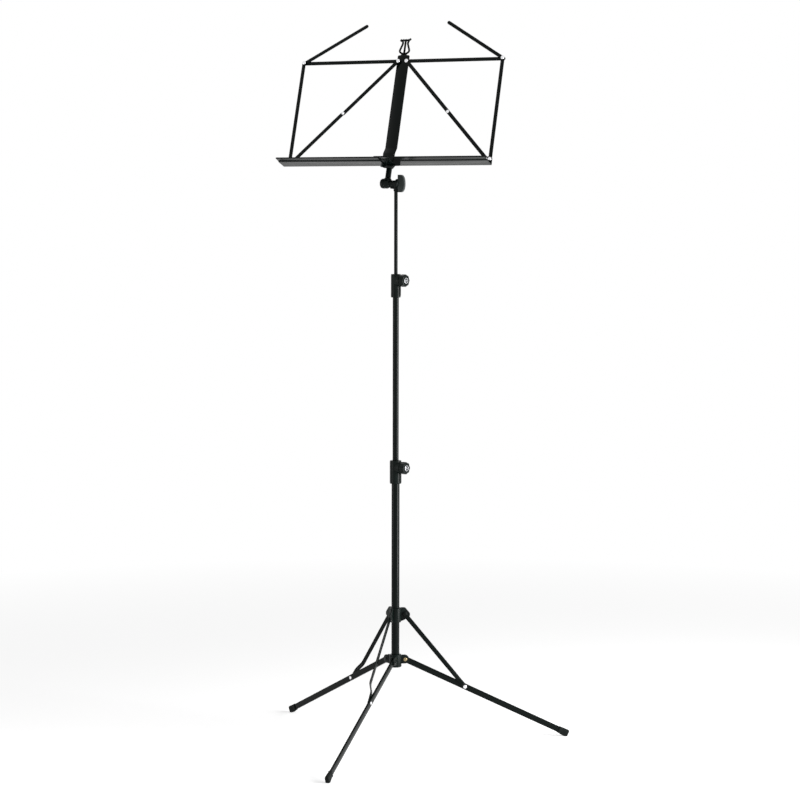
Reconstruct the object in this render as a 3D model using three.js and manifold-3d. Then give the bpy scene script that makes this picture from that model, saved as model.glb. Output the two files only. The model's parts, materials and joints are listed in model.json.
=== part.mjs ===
// Folding music stand: tripod base, two telescoping sections and a folding sheet-steel desk.
// Millimetres, +Z up, floor at z = 0. The player stands on the -Y side.
import * as THREE from 'three';
import { mergeVertices } from 'three/addons/utils/BufferGeometryUtils.js';
import Module from 'manifold-3d';

const wasm = await Module();
wasm.setup();

// ---------- driving dimensions ----------
const GAP = 0.3; // running clearance between touching pieces
const FLOOR = 0;

// column
const LOWER_TUBE_R = 8.4;
const TUBE_WALL = 1.2;
const MIDDLE_PLAY = 0.8; // between the middle tube and the lower one's bore
const ROD_PLAY = 1.4; // between the rod and the middle tube's bore
const LOWER_SHOWN = 385.1; // from the hub's top to the lower clamp's middle
const MIDDLE_SHOWN = 388.2; // from clamp to clamp
const ROD_SHOWN = 210.9; // from the upper clamp to the tilt axis
const CLAMP_HEIGHT = 48.5;
const INSERTED = 46; // length of an inner tube that stays inside the outer one
const LOWER_CLAMP_R = 12.2;
const UPPER_CLAMP_R = 10.2;
const CLAMP_AZIMUTH = -37;
const CLAMP_BOSS_R = 12.4;
const CLAMP_BOSS_ROOT = 0.45; // where the boss starts, as a share of the sleeve's radius
const CLAMP_BOSS_REACH = 4.6; // boss beyond the sleeve
const KNOB_R = 12.9;
const KNOB_DEPTH = 11.5;
const KNOB_LOBES = 8;
const KNOB_LOBE_DEPTH = 1.1;
const KNOB_RISE_UPPER = 11;
const KNOB_RISE_LOWER = 9.5;
const SCREW_R = 3;
const DISC_R = 6.2;
const DISC_PROUD = 0.9;

// base
const LEG_AZIMUTH = -111.6; // front leg, the others follow every 120 degrees
const LEG_COUNT = 3;
const HUB_R = 13;
const HUB_BOTTOM = 161;
const HUB_TOP = 187.5;
const HUB_PIVOT_R = 20.7;
const HUB_PIVOT_Z = 176;
const LUG_R = 8.8;
const CHEEK = 2.6;
const FOOT_R = 366.5;
const FOOT_Z = 8;
const LEG_WIDTH = 4;
const LEG_HEIGHT = 12.3;
const LEG_WALL = 1.1;
const LEG_OFFSET = 3.7; // the leg runs beside the radial plane of the column
const CAP_LENGTH = 23;
const CAP_WIDTH = 8.6;
const CAP_HEIGHT = 16;
const CAP_OVERHANG = 7;
const CAP_GRIP = 0.3; // share of the cap past the leg's end
const CAP_WALL = 1;
const CAP_WAIST = 8; // from the cap's mouth to where it flares
const CAP_TOE = 4;
const CAP_CROWN = 1.6;
const CAP_SOLE = 1.2;
const COLLAR_R = 12;
const COLLAR_PIVOT_R = 19.3;
const COLLAR_PIVOT_Z = 272.6;
const COLLAR_ABOVE = 14.2;
const COLLAR_BELOW = 16.6;
const EAR_REACH = 11.6; // ear beyond the collar pivot
const EAR_RISE = 2.5; // ear's lower edge over the collar's
const EAR_CHIN = 0.4; // shares of the ear's reach
const EAR_JAW = 0.62;
const EAR_BROW = 0.66;
const EAR_DROP = 1.6;
const EAR_WIDE = 4.6;
const EAR_NEAR = -1;
const EAR_FAR = 1.2;
const STRUT_WIDTH = 9.5;
const STRUT_THICK = 2;
const STRUT_SIDE = -7.4; // side offset of the strut just before its bend
const STRUT_BEND_START = 0.79;
const STRUT_BEND_END = 0.88;
const LEG_RIVET_ALONG = 142.4;
const PIN_R = 2;
const HEAD_R = 4;
const HEAD_H = 1.2;

// desk
const DESK_TURN = -22.65; // desk swung about the column
const DESK_LEAN = 19.19;
const DESK_OFFSET = -19.6; // desk centre beside the column, along the tilt axis
const SHAFT_R = 6;
const BOSS_R = 10.4;
const NECK_R = 6.8;
const BOSS_LENGTH = 20.6;
const BOSS_BEYOND = 6.4; // boss past the shaft centre towards the column
const NECK_END = 5.1;
const FLANGE_R = 9.6; // barrel's flange beside the wing
const FLANGE_THICK = 4.2;
const SOCKET_DROP = 9; // barrel's socket on the rod
const SOCKET_WALL = 1.2;
const WING_R = 18;
const WING_DEPTH = 14.4;
const WING_THICK = 9;
const WING_EDGE = 1.6;
const WING_SQUARE = 6.5; // straight part of the wing's ends
const BOLT_R = 3;
const BOLT_SUNK = 4; // bolt's head below the boss's end
const BOLT_HEAD_R = 5.4;
const BOLT_HEAD_H = 2.5;
const SHEET = 1.5;
const TRAY_SHEET = 1.2;
const PLATE_BACK = 3;
const PLATE_THICK = 2;
const PLATE_HALF = 13.2;
const PLATE_FOOT = 30;
const JOGGLE_LOW = 62;
const JOGGLE_HIGH = 76;
const SHOULDER_S = 283;
const NECK_HALF = 6.2;
const BOWL_HALF = 10.6;
const BOWL_S = 293;
const WAIST_HALF = 5.6;
const WAIST_S = 310;
const CROSSBAR_S = 316.5;
const CROSSBAR_HALF = 9.9;
const STROKE = 4;
const BALL_R = 2.8; // crossbar's left end
const CURL_R = 2.3;
const CURL_RISE = 2.2;
const STEM_FOOT = 2.8; // half its width
const STEM_TOP = 1.2;
const BUMP_R = 1.1;
const LOW_PIVOT_S = 47.2;
const HIGH_PIVOT_S = 268.8;
const PIVOT_EDGE = 3.9; // from a centre pivot to the plate's edge
const OUTER_PIVOT_A = 224.6;
const SMALL_RIVET_BACK = 7; // from the tray rivet to the diagonal's small rivet
const BAR_R = 3.9;
const DIAGONAL_R = 3.9;
const ARM_R = 3.7;
const ARM_LENGTH = 155;
const ARM_ANGLE_RIGHT = 32.5; // degrees above the upper bar
const ARM_ANGLE_LEFT = 31.3;
const TRAY_END_LEFT = 236;
const TRAY_END_RIGHT = 230.2;
const LEDGE_S = 34;
const LEDGE_DEPTH = 28;
const BEND_R = 0.8; // inside the bend between shelf and flange
const BEAD_RISE = 1.4;
const STRIP_DEPTH = 15;
const LIP_RISE = 3.4;
const FLANGE_TOP = 54.6;
const FLANGE_INSET = 20;
const EAR_R = 5.4;
const BRACKET_HALF = 20.5;
const BRACKET_LOW = 34.2;
const BRACKET_RISE = 3; // its corner on the left over its lowest point
const BRACKET_STEP = 4.8; // and its lower edge on the right
const BRACKET_WALL = 2.5;
const SHAFT_TOP = 39;
const FOOT_CORNER = 3.6; // cut off the plate's lower corners
const PIVOT_REACH = 6; // flange past its pivot towards the desk centre
const TONGUE_ROOT = 14;
const HALF_JOINT = -4.5; // where the left ledge's full section ends
const TONGUE_END = 0.9;
const RIGHT_START = 30;
const JOINT_SLANT = 0.4;

// ---------- values worked out from them ----------
const rad = THREE.MathUtils.degToRad;
const BEYOND = 2 * LEG_HEIGHT * LEG_COUNT; // reach of a cutting block past what it cuts
const MIDDLE_TUBE_R = LOWER_TUBE_R - TUBE_WALL - MIDDLE_PLAY;
const ROD_R = MIDDLE_TUBE_R - TUBE_WALL - ROD_PLAY;
const LOWER_CLAMP_Z = HUB_TOP + LOWER_SHOWN;
const UPPER_CLAMP_Z = LOWER_CLAMP_Z + MIDDLE_SHOWN;
const TILT_Z = UPPER_CLAMP_Z + ROD_SHOWN;
const CENTRE_PIVOT_A = PLATE_HALF - PIVOT_EDGE;
const SMALL_RIVET_A = OUTER_PIVOT_A - SMALL_RIVET_BACK;
const SMALL_RIVET_S = LOW_PIVOT_S;
const LAYER_STEP = SHEET + GAP;
const PLATE_FRONT = PLATE_BACK + PLATE_THICK;
const LAYER = [0, 1, 2, 3].map((i) => PLATE_FRONT + GAP + i * LAYER_STEP);
const FLANGE_BACK = LAYER[3] + LAYER_STEP;
const FLANGE_FRONT = FLANGE_BACK + TRAY_SHEET;
const FOOT_BACK = FLANGE_BACK - GAP - PLATE_THICK;
const LEG_RUN = FOOT_R - HUB_PIVOT_R;
const LEG_SLOPE = Math.atan2(FOOT_Z - HUB_PIVOT_Z, LEG_RUN);
const LEG_LENGTH = Math.hypot(LEG_RUN, HUB_PIVOT_Z - FOOT_Z);
const LEG_NEAR = LEG_OFFSET - LEG_WIDTH / 2;
const LEG_FAR = LEG_OFFSET + LEG_WIDTH / 2;
const RIVET_POINT = new THREE.Vector2(
  HUB_PIVOT_R + LEG_RIVET_ALONG * Math.cos(LEG_SLOPE),
  HUB_PIVOT_Z + LEG_RIVET_ALONG * Math.sin(LEG_SLOPE));
const COLLAR_POINT = new THREE.Vector2(COLLAR_PIVOT_R, COLLAR_PIVOT_Z);
const STRUT_LENGTH = RIVET_POINT.distanceTo(COLLAR_POINT);
const STRUT_SLOPE = Math.atan2(RIVET_POINT.y - COLLAR_POINT.y, RIVET_POINT.x - COLLAR_POINT.x);
const STRUT_TOP_SIDE = EAR_NEAR - GAP - STRUT_THICK / 2;
const STRUT_END_SIDE = LEG_NEAR - GAP - STRUT_THICK / 2;

// ---------- materials ----------
const finish = (color, roughness, metalness) =>
  new THREE.MeshStandardMaterial({ color, roughness, metalness });
const blackSteel = finish(0x1b1b1c, 0.42, 0.3);
const blackPlastic = finish(0x1d1c20, 0.5, 0);
const capPlastic = finish(0x151515, 0.6, 0);
const nickel = finish(0xd5d6d8, 0.25, 1);
const brass = finish(0xc9a968, 0.3, 1);

// ---------- solids ----------
function solid(geometry) {
  const bare = geometry.clone();
  bare.deleteAttribute('normal');
  bare.deleteAttribute('uv');
  const merged = mergeVertices(bare, 1e-4);
  const triVerts = new Uint32Array(merged.index.array);
  const vertProperties = new Float32Array(merged.attributes.position.array);
  return new wasm.Manifold(new wasm.Mesh({ numProp: 3, vertProperties, triVerts }));
}

function toGeometry(body) {
  const mesh = body.getMesh();
  const geometry = new THREE.BufferGeometry();
  const count = mesh.vertProperties.length / mesh.numProp;
  const points = new Float32Array(count * 3);
  for (let i = 0; i < count; i += 1) {
    for (let k = 0; k < 3; k += 1) points[3 * i + k] = mesh.vertProperties[i * mesh.numProp + k];
  }
  geometry.setAttribute('position', new THREE.BufferAttribute(points, 3));
  geometry.setIndex(Array.from(mesh.triVerts));
  return geometry;
}

// a slab of an outline in the XY plane, from z = back to back + thickness
function slab(outline, back, thickness, segments = 6) {
  const options = { depth: thickness, bevelEnabled: false, curveSegments: segments };
  return solid(new THREE.ExtrudeGeometry(outline, options).translate(0, 0, back));
}

// a round rod along +Z
function rod(radius, back, front, x = 0, y = 0, sides = 20) {
  const geometry = new THREE.CylinderGeometry(radius, radius, front - back, sides);
  return solid(geometry.rotateX(Math.PI / 2).translate(x, y, (back + front) / 2));
}

// a turned body about +Z from [radius, height] pairs
function turned(profile, sides = 28) {
  const points = profile.map(([r, z]) => new THREE.Vector2(r, z));
  const closed = [...points, points[0]];
  return solid(new THREE.LatheGeometry(closed, sides).rotateX(Math.PI / 2));
}

function pipe(outer, inner, bottom, top, sides = 24) {
  return turned([[inner, bottom], [outer, bottom], [outer, top], [inner, top]], sides);
}

function box(x0, x1, y0, y1, z0, z1) {
  const geometry = new THREE.BoxGeometry(x1 - x0, y1 - y0, z1 - z0);
  return solid(geometry.translate((x0 + x1) / 2, (y0 + y1) / 2, (z0 + z1) / 2));
}

function polygon(points) {
  return new THREE.Shape(points.map(([x, y]) => new THREE.Vector2(x, y)));
}

// outline of a flat bar with round ends from (0, 0) to (length, 0)
function barOutline(length, radius) {
  const shape = new THREE.Shape();
  shape.absarc(0, 0, radius, Math.PI / 2, (3 * Math.PI) / 2, false);
  shape.absarc(length, 0, radius, -Math.PI / 2, Math.PI / 2, false);
  shape.closePath();
  return shape;
}

function punched(outline, holes) {
  for (const [x, y, radius] of holes) {
    const hole = new THREE.Path();
    hole.absarc(x, y, radius, 0, 2 * Math.PI, true);
    outline.holes.push(hole);
  }
  return outline;
}

function unite(bodies) {
  return bodies.reduce((sum, body) => sum.add(body));
}

function transformed(body, matrix) {
  const geometry = toGeometry(body).applyMatrix4(matrix);
  if (matrix.determinant() < 0) {
    const order = geometry.index.array;
    for (let i = 0; i < order.length; i += 3) [order[i], order[i + 1]] = [order[i + 1], order[i]];
  }
  return solid(geometry);
}

function piece(name, body, material, parent) {
  const mesh = new THREE.Mesh(toGeometry(body), material);
  mesh.name = name;
  parent.add(mesh);
  return mesh;
}

// a rivet along +Z: front head, shank with clearance in its holes, optional shoulder and tail
function rivet({ back, front, tail = 0, shoulder = null, headR = HEAD_R }) {
  const parts = [rod(PIN_R, back - tail, front + HEAD_H / 2, 0, 0, 14)];
  parts.push(turned([
    [0, front], [headR, front], [headR, front + HEAD_H * 0.35],
    [headR * 0.55, front + HEAD_H], [0, front + HEAD_H],
  ], 16));
  if (tail > 0) parts.push(rod(headR * 0.8, back - tail, back, 0, 0, 16));
  if (shoulder) parts.push(rod(PIN_R + 1.2, shoulder[0], shoulder[1], 0, 0, 16));
  return unite(parts);
}

// ---------- column ----------
const stand = new THREE.Group();

function makeTubes() {
  const lowerBottom = HUB_BOTTOM + 4;
  const lowerTop = LOWER_CLAMP_Z;
  const lower = pipe(LOWER_TUBE_R, LOWER_TUBE_R - TUBE_WALL, lowerBottom, lowerTop);
  piece('lower_tube', lower, blackSteel, stand);
  const middleTop = UPPER_CLAMP_Z;
  const middle = pipe(MIDDLE_TUBE_R, MIDDLE_TUBE_R - TUBE_WALL, lowerTop - INSERTED, middleTop);
  piece('middle_tube', middle, blackSteel, stand);
  const rodTop = TILT_Z - NECK_R - GAP;
  piece('upper_rod', rod(ROD_R, middleTop - INSERTED, rodTop, 0, 0, 18), blackSteel, stand);
}

// sleeve clamped on the outer tube, with a mouth for the inner one and a boss for the knob
function clampSleeve(centre, outerR, tubeR, innerR, rise) {
  const bottom = centre - CLAMP_HEIGHT / 2;
  const top = centre + CLAMP_HEIGHT / 2;
  const lip = 1.2;
  let body = turned([
    [0, bottom], [outerR - lip, bottom], [outerR, bottom + lip],
    [outerR, top - lip], [outerR - lip, top], [0, top],
  ]);
  const boss = rod(CLAMP_BOSS_R, outerR * CLAMP_BOSS_ROOT, outerR + CLAMP_BOSS_REACH, 0, 0, 28);
  const rib = box(-2.2, 2.2, -(CLAMP_HEIGHT / 2 + rise - 4), 0, 0, outerR + 1.6);
  body = body.add(transformed(boss.add(rib), knobMatrix(centre + rise)));
  body = body.subtract(rod(tubeR + GAP, bottom - 1, centre + GAP, 0, 0, 28));
  body = body.subtract(rod(innerR + GAP, bottom, top + 1, 0, 0, 28));
  const bore = rod(SCREW_R + GAP, 0, outerR + CLAMP_BOSS_REACH + 1, 0, 0, 16);
  return body.subtract(transformed(bore, knobMatrix(centre + rise)));
}

// local +Z points along the clamp screw, local +Y stays up
function knobMatrix(height) {
  const azimuth = rad(CLAMP_AZIMUTH);
  const out = new THREE.Vector3(Math.cos(azimuth), Math.sin(azimuth), 0);
  const up = new THREE.Vector3(0, 0, 1);
  const side = new THREE.Vector3().crossVectors(up, out);
  return new THREE.Matrix4().makeBasis(side, up, out).setPosition(0, 0, height);
}

function lobedOutline(radius, depth, lobes) {
  const shape = new THREE.Shape();
  const steps = lobes * 6;
  for (let i = 0; i < steps; i += 1) {
    const angle = (2 * Math.PI * i) / steps;
    const r = radius - (depth * (1 - Math.cos(lobes * angle))) / 2;
    if (i === 0) shape.moveTo(r, 0);
    else shape.lineTo(r * Math.cos(angle), r * Math.sin(angle));
  }
  shape.closePath();
  return shape;
}

function makeClamp(prefix, centre, outerR, tubeR, innerR, rise) {
  piece(`${prefix}_clamp`, clampSleeve(centre, outerR, tubeR, innerR, rise), blackPlastic, stand);
  const seat = outerR + CLAMP_BOSS_REACH + GAP;
  const face = seat + KNOB_DEPTH;
  const recess = 2;
  let knob = slab(lobedOutline(KNOB_R, KNOB_LOBE_DEPTH, KNOB_LOBES), seat, KNOB_DEPTH);
  knob = knob.subtract(rod(DISC_R + GAP, face - recess, face + 1, 0, 0, 20));
  knob = knob.subtract(rod(SCREW_R + GAP, seat - 1, face, 0, 0, 16));
  const placed = knobMatrix(centre + rise);
  piece(`${prefix}_clamp_knob`, transformed(knob, placed), blackPlastic, stand);
  const tip = innerR + 2 * GAP;
  let screw = rod(SCREW_R, tip, face, 0, 0, 16);
  screw = screw.add(rod(DISC_R, face - recess + GAP, face + DISC_PROUD, 0, 0, 20));
  piece(`${prefix}_clamp_screw`, transformed(screw, placed), nickel, stand);
}

// ---------- base ----------
// local X runs out along the leg's radius, local Y is up, local Z is the near side of the leg
function legGroup(index) {
  const azimuth = rad(LEG_AZIMUTH + (360 / LEG_COUNT) * index);
  const out = new THREE.Vector3(Math.cos(azimuth), Math.sin(azimuth), 0);
  const up = new THREE.Vector3(0, 0, 1);
  const near = new THREE.Vector3().crossVectors(out, up);
  const group = new THREE.Group();
  group.applyMatrix4(new THREE.Matrix4().makeBasis(out, up, near));
  stand.add(group);
  return group;
}

function radialMatrix(index) {
  const azimuth = rad(LEG_AZIMUTH + (360 / LEG_COUNT) * index);
  const out = new THREE.Vector3(Math.cos(azimuth), Math.sin(azimuth), 0);
  const up = new THREE.Vector3(0, 0, 1);
  return new THREE.Matrix4().makeBasis(out, up, new THREE.Vector3().crossVectors(out, up));
}

const HUB_SLOT_NEAR = LEG_NEAR - GAP;
const HUB_SLOT_FAR = LEG_FAR + GAP;

function makeHub() {
  const rim = 1.5;
  let body = turned([
    [0, HUB_BOTTOM], [HUB_R - rim, HUB_BOTTOM], [HUB_R, HUB_BOTTOM + rim],
    [HUB_R, HUB_TOP - rim], [HUB_R - rim, HUB_TOP], [0, HUB_TOP],
  ]);
  const lug = barOutline(HUB_PIVOT_R, LUG_R);
  const wide = slab(lug, -(HUB_SLOT_FAR + CHEEK), HUB_SLOT_FAR - HUB_SLOT_NEAR + 2 * CHEEK, 7);
  for (let i = 0; i < LEG_COUNT; i += 1) {
    const raised = new THREE.Matrix4().makeTranslation(0, HUB_PIVOT_Z, 0);
    body = body.add(transformed(wide, radialMatrix(i).multiply(raised)));
  }
  for (let i = 0; i < LEG_COUNT; i += 1) {
    const slot = box(
      HUB_R + GAP, HUB_PIVOT_R + BEYOND, HUB_PIVOT_Z - BEYOND, HUB_PIVOT_Z + BEYOND,
      -HUB_SLOT_FAR, -HUB_SLOT_NEAR);
    const bore = rod(PIN_R + GAP, -BEYOND, BEYOND, HUB_PIVOT_R, HUB_PIVOT_Z, 14);
    body = body.subtract(transformed(slot.add(bore), radialMatrix(i)));
  }
  const socketFloor = HUB_BOTTOM + 4 - GAP;
  body = body.subtract(rod(LOWER_TUBE_R + GAP, socketFloor, HUB_TOP + 1, 0, 0, 28));
  piece('hub', body, blackPlastic, stand);
}

function makeCollar() {
  const bottom = COLLAR_PIVOT_Z - COLLAR_BELOW;
  const top = COLLAR_PIVOT_Z + COLLAR_ABOVE;
  let body = rod(COLLAR_R, bottom, top, 0, 0, 28);
  const reach = COLLAR_PIVOT_R + EAR_REACH;
  const root = COLLAR_R / 3;
  const low = bottom + EAR_RISE;
  const ear = polygon([
    [root, low], [reach * EAR_CHIN, low - EAR_DROP / 2], [reach * EAR_JAW, low + EAR_DROP],
    [reach, COLLAR_PIVOT_Z - EAR_WIDE], [reach, COLLAR_PIVOT_Z + EAR_DROP],
    [reach * EAR_BROW, top], [root, top],
  ]);
  punched(ear, [[COLLAR_PIVOT_R, COLLAR_PIVOT_Z, PIN_R + GAP]]);
  for (let i = 0; i < LEG_COUNT; i += 1) {
    body = body.add(transformed(slab(ear, -EAR_FAR, EAR_FAR - EAR_NEAR), radialMatrix(i)));
  }
  body = body.subtract(rod(LOWER_TUBE_R + GAP, bottom - 1, top + 1, 0, 0, 28));
  piece('collar', body, blackPlastic, stand);
}

function legBody() {
  const half = LEG_HEIGHT / 2;
  const end = LEG_LENGTH - CAP_LENGTH * CAP_GRIP;
  const side = new THREE.Shape();
  side.absarc(0, 0, half, Math.PI / 2, (3 * Math.PI) / 2, false);
  side.lineTo(end, -half);
  side.lineTo(end, half);
  side.closePath();
  punched(side, [[0, 0, PIN_R + GAP]]);
  let body = slab(side, -LEG_FAR, LEG_WIDTH, 7);
  const floor = -half + LEG_WALL;
  body = body.subtract(box(-half - 1, end + 1, floor, half + 1, -LEG_FAR + LEG_WALL, -LEG_NEAR - LEG_WALL));
  const head = rod(HEAD_R * 0.9, -LEG_FAR - HEAD_H, -LEG_FAR + LEG_WALL / 2, LEG_RIVET_ALONG, 0, 16);
  return body.add(head);
}

// the cap grips the leg's end, flares downwards and stands on its lower corner
function capBody() {
  const half = LEG_HEIGHT / 2;
  const start = LEG_LENGTH - CAP_LENGTH + CAP_OVERHANG;
  const end = LEG_LENGTH + CAP_OVERHANG;
  const mouth = half + CAP_WALL;
  const low = -half - CAP_SOLE - (CAP_HEIGHT - LEG_HEIGHT) / 2;
  const top = half + CAP_CROWN;
  const waist = start + CAP_WAIST;
  const outline = new THREE.Shape();
  outline.moveTo(start, -mouth);
  outline.quadraticCurveTo(waist, -mouth, end - CAP_TOE, low);
  outline.quadraticCurveTo(end, low, end + CAP_SOLE / 2, low / 3);
  outline.lineTo(end - GAP, half - CAP_WALL);
  outline.quadraticCurveTo(end - CAP_WALL, top, end - CAP_TOE, top);
  outline.quadraticCurveTo(waist, mouth, start, mouth);
  outline.closePath();
  const centre = LEG_OFFSET;
  let body = slab(outline, -centre - CAP_WIDTH / 2, CAP_WIDTH, 6);
  const pocketEnd = LEG_LENGTH - CAP_LENGTH * CAP_GRIP + GAP;
  const wall = LEG_WIDTH / 2 + GAP;
  body = body.subtract(box(start - 1, pocketEnd, -half - GAP, half + GAP, -centre - wall, -centre + wall));
  return body;
}

function strutBody() {
  const half = STRUT_THICK / 2;
  const stations = [
    [-STRUT_WIDTH, STRUT_TOP_SIDE], [STRUT_WIDTH, STRUT_TOP_SIDE],
    [STRUT_LENGTH * STRUT_BEND_START, STRUT_SIDE], [STRUT_LENGTH * STRUT_BEND_END, STRUT_END_SIDE],
    [STRUT_LENGTH + STRUT_WIDTH, STRUT_END_SIDE],
  ];
  const edge = stations.map(([x, side]) => [x, -side + half]);
  const back = stations.map(([x, side]) => [x, -side - half]).reverse();
  const section = slab(polygon([...edge, ...back]), -STRUT_WIDTH, 2 * STRUT_WIDTH);
  const ribbon = transformed(section, new THREE.Matrix4().makeRotationX(Math.PI / 2));
  const front = punched(barOutline(STRUT_LENGTH, STRUT_WIDTH / 2), [
    [0, 0, PIN_R + GAP], [STRUT_LENGTH, 0, PIN_R + GAP],
  ]);
  return ribbon.intersect(slab(front, -BEYOND, 2 * BEYOND, 7));
}

function makeLeg(index, label) {
  const group = legGroup(index);
  const leg = new THREE.Group();
  leg.position.set(HUB_PIVOT_R, HUB_PIVOT_Z, 0);
  leg.rotation.z = LEG_SLOPE;
  group.add(leg);
  piece(`${label}_leg`, legBody(), blackSteel, leg);
  const toFloor = new THREE.Matrix4().makeRotationZ(LEG_SLOPE).setPosition(HUB_PIVOT_R, HUB_PIVOT_Z, 0);
  const underFloor = box(0, FOOT_R + BEYOND, FLOOR - BEYOND, FLOOR, -BEYOND, BEYOND);
  const cap = transformed(capBody(), toFloor).subtract(underFloor);
  piece(`${label}_foot_cap`, cap, capPlastic, group);

  const hubPin = rivet({ back: -(HUB_SLOT_FAR + CHEEK), front: -(HUB_SLOT_NEAR - CHEEK), tail: HEAD_H });
  const hubPinMesh = piece(`${label}_hub_pin`, hubPin, index === 1 ? brass : blackSteel, group);
  hubPinMesh.position.set(HUB_PIVOT_R, HUB_PIVOT_Z, 0);

  const strut = new THREE.Group();
  strut.position.set(COLLAR_PIVOT_R, COLLAR_PIVOT_Z, 0);
  strut.rotation.z = STRUT_SLOPE;
  group.add(strut);
  piece(`${label}_strut`, strutBody(), blackSteel, strut);
  const strutFace = -STRUT_TOP_SIDE + STRUT_THICK / 2 + GAP;
  piece(`${label}_collar_pin`, rivet({ back: -EAR_FAR, front: strutFace }), blackSteel, group)
    .position.set(COLLAR_PIVOT_R, COLLAR_PIVOT_Z, 0);
  const endFace = -STRUT_END_SIDE + STRUT_THICK / 2 + GAP;
  piece(`${label}_leg_pin`, rivet({ back: -STRUT_END_SIDE - STRUT_THICK / 2, front: endFace }), nickel, strut)
    .position.set(STRUT_LENGTH, 0, 0);
}

// ---------- desk tilter ----------
const deskTurn = new THREE.Group();
deskTurn.rotation.z = rad(DESK_TURN);
stand.add(deskTurn);

// along the tilt axis, which is local X of deskTurn
function alongTilt(body) {
  return transformed(body, new THREE.Matrix4().makeRotationY(Math.PI / 2));
}

// an outline drawn in (along the tilt axis, up) stood upright
function standing(body) {
  return transformed(body, new THREE.Matrix4().makeRotationX(Math.PI / 2));
}

// along the desk's own up direction
function upDesk(body) {
  return transformed(body, new THREE.Matrix4().makeRotationX(-Math.PI / 2));
}

// half-round wing standing on the bolt, its flat sides along the axis
function wingBody(seat) {
  const layer = (inset, half) => {
    const r = WING_R - inset;
    const tip = seat + WING_DEPTH - inset;
    const outline = new THREE.Shape();
    outline.moveTo(seat + inset, -r);
    outline.lineTo(seat + WING_SQUARE, -r);
    outline.bezierCurveTo(tip - inset, -r * 0.98, tip, -r * 0.5, tip, 0);
    outline.bezierCurveTo(tip, r * 0.5, tip - inset, r * 0.98, seat + WING_SQUARE, r);
    outline.lineTo(seat + inset, r);
    outline.closePath();
    return slab(outline, -half, 2 * half, 7);
  };
  return layer(WING_EDGE, WING_THICK / 2).add(layer(0, WING_THICK / 2 - WING_EDGE));
}

function makeTilter() {
  const neckStart = DESK_OFFSET + BOSS_BEYOND + GAP;
  const socketR = ROD_R + SOCKET_WALL;
  const socketLow = -NECK_R - SOCKET_DROP;
  let neck = alongTilt(rod(NECK_R, neckStart, NECK_END, 0, 0, 24));
  neck = neck.add(alongTilt(rod(FLANGE_R, NECK_END - FLANGE_THICK, NECK_END, 0, 0, 24)));
  const fairing = polygon([
    [neckStart, 0], [neckStart, -BOSS_R], [0, -BOSS_R - SOCKET_WALL], [0, 0],
  ]);
  neck = neck.add(standing(slab(fairing, -ROD_R, 2 * ROD_R)));
  neck = neck.add(rod(socketR, socketLow, 0, 0, 0, 20));
  neck = neck.subtract(alongTilt(rod(BOLT_R + GAP, neckStart - 1, NECK_END + 1, 0, 0, 16)));
  neck = neck.subtract(rod(ROD_R + GAP, socketLow - 1, -NECK_R, 0, 0, 18));
  piece('tilt_barrel', neck, blackSteel, deskTurn).position.z = TILT_Z;

  const boltStart = DESK_OFFSET - BOSS_LENGTH + BOSS_BEYOND + BOLT_SUNK;
  const boltEnd = NECK_END + WING_DEPTH * 0.7;
  let bolt = alongTilt(rod(BOLT_R, boltStart, boltEnd, 0, 0, 16));
  bolt = bolt.add(alongTilt(rod(BOLT_HEAD_R, boltStart - BOLT_HEAD_H, boltStart, 0, 0, 6)));
  piece('tilt_bolt', bolt, nickel, deskTurn).position.z = TILT_Z;

  const seat = NECK_END + GAP;
  const bore = rod(BOLT_R + GAP, seat - 1, boltEnd + GAP, 0, 0, 16);
  const wing = standing(wingBody(seat)).subtract(alongTilt(bore));
  piece('tilt_wing_knob', wing, blackPlastic, deskTurn).position.z = TILT_Z;
}

// ---------- desk: local X runs to the player's right, Y up the desk, Z towards the player ----------
const desk = new THREE.Group();
desk.position.set(DESK_OFFSET, 0, TILT_Z);
desk.rotation.x = Math.PI / 2 - rad(DESK_LEAN);
deskTurn.add(desk);

function makeShaft() {
  const inner = BOSS_BEYOND;
  const outer = BOSS_BEYOND - BOSS_LENGTH;
  let body = turned([
    [0, outer], [BOSS_R * 0.55, outer + 0.6], [BOSS_R * 0.9, outer + 2.6], [BOSS_R, outer + 5.5],
    [BOSS_R, inner - 5.5], [NECK_R + 0.6, inner], [0, inner],
  ], 24);
  const bolt = rod(BOLT_R + GAP, outer + BOLT_SUNK - GAP, inner + 1, 0, 0, 16);
  const head = rod(BOLT_HEAD_R + GAP, outer - 1, outer + BOLT_SUNK + GAP, 0, 0, 16);
  const shaft = upDesk(rod(SHAFT_R, 0, SHAFT_TOP, 0, 0, 20));
  body = alongTilt(body).add(shaft);
  body = body.subtract(alongTilt(bolt)).subtract(alongTilt(head));
  piece('desk_shaft', body, blackSteel, desk);
}

// gusset between the shaft's end and the foot of the centre plate
function makeBracket() {
  const top = LOW_PIVOT_S - EAR_R;
  const socketR = SHAFT_R + BRACKET_WALL;
  const outline = polygon([
    [-socketR, BRACKET_LOW], [-BRACKET_HALF, BRACKET_LOW + BRACKET_RISE], [-BRACKET_HALF, top],
    [BRACKET_HALF, top], [BRACKET_HALF, BRACKET_LOW + BRACKET_STEP],
    [2 * SHAFT_R, BRACKET_LOW + BRACKET_STEP], [socketR, BRACKET_LOW],
  ]);
  const web = slab(outline, -PLATE_THICK, 2 * PLATE_THICK);
  const socket = upDesk(rod(socketR, BRACKET_LOW + BRACKET_WALL, top, 0, 0, 20));
  const pad = box(-PLATE_HALF, PLATE_HALF, BRACKET_LOW + BRACKET_WALL, top, 0, FOOT_BACK - GAP);
  const bore = upDesk(rod(SHAFT_R + GAP, BRACKET_LOW - 1, SHAFT_TOP + GAP, 0, 0, 20));
  piece('desk_bracket', unite([web, socket, pad]).subtract(bore), blackSteel, desk);
}

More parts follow.
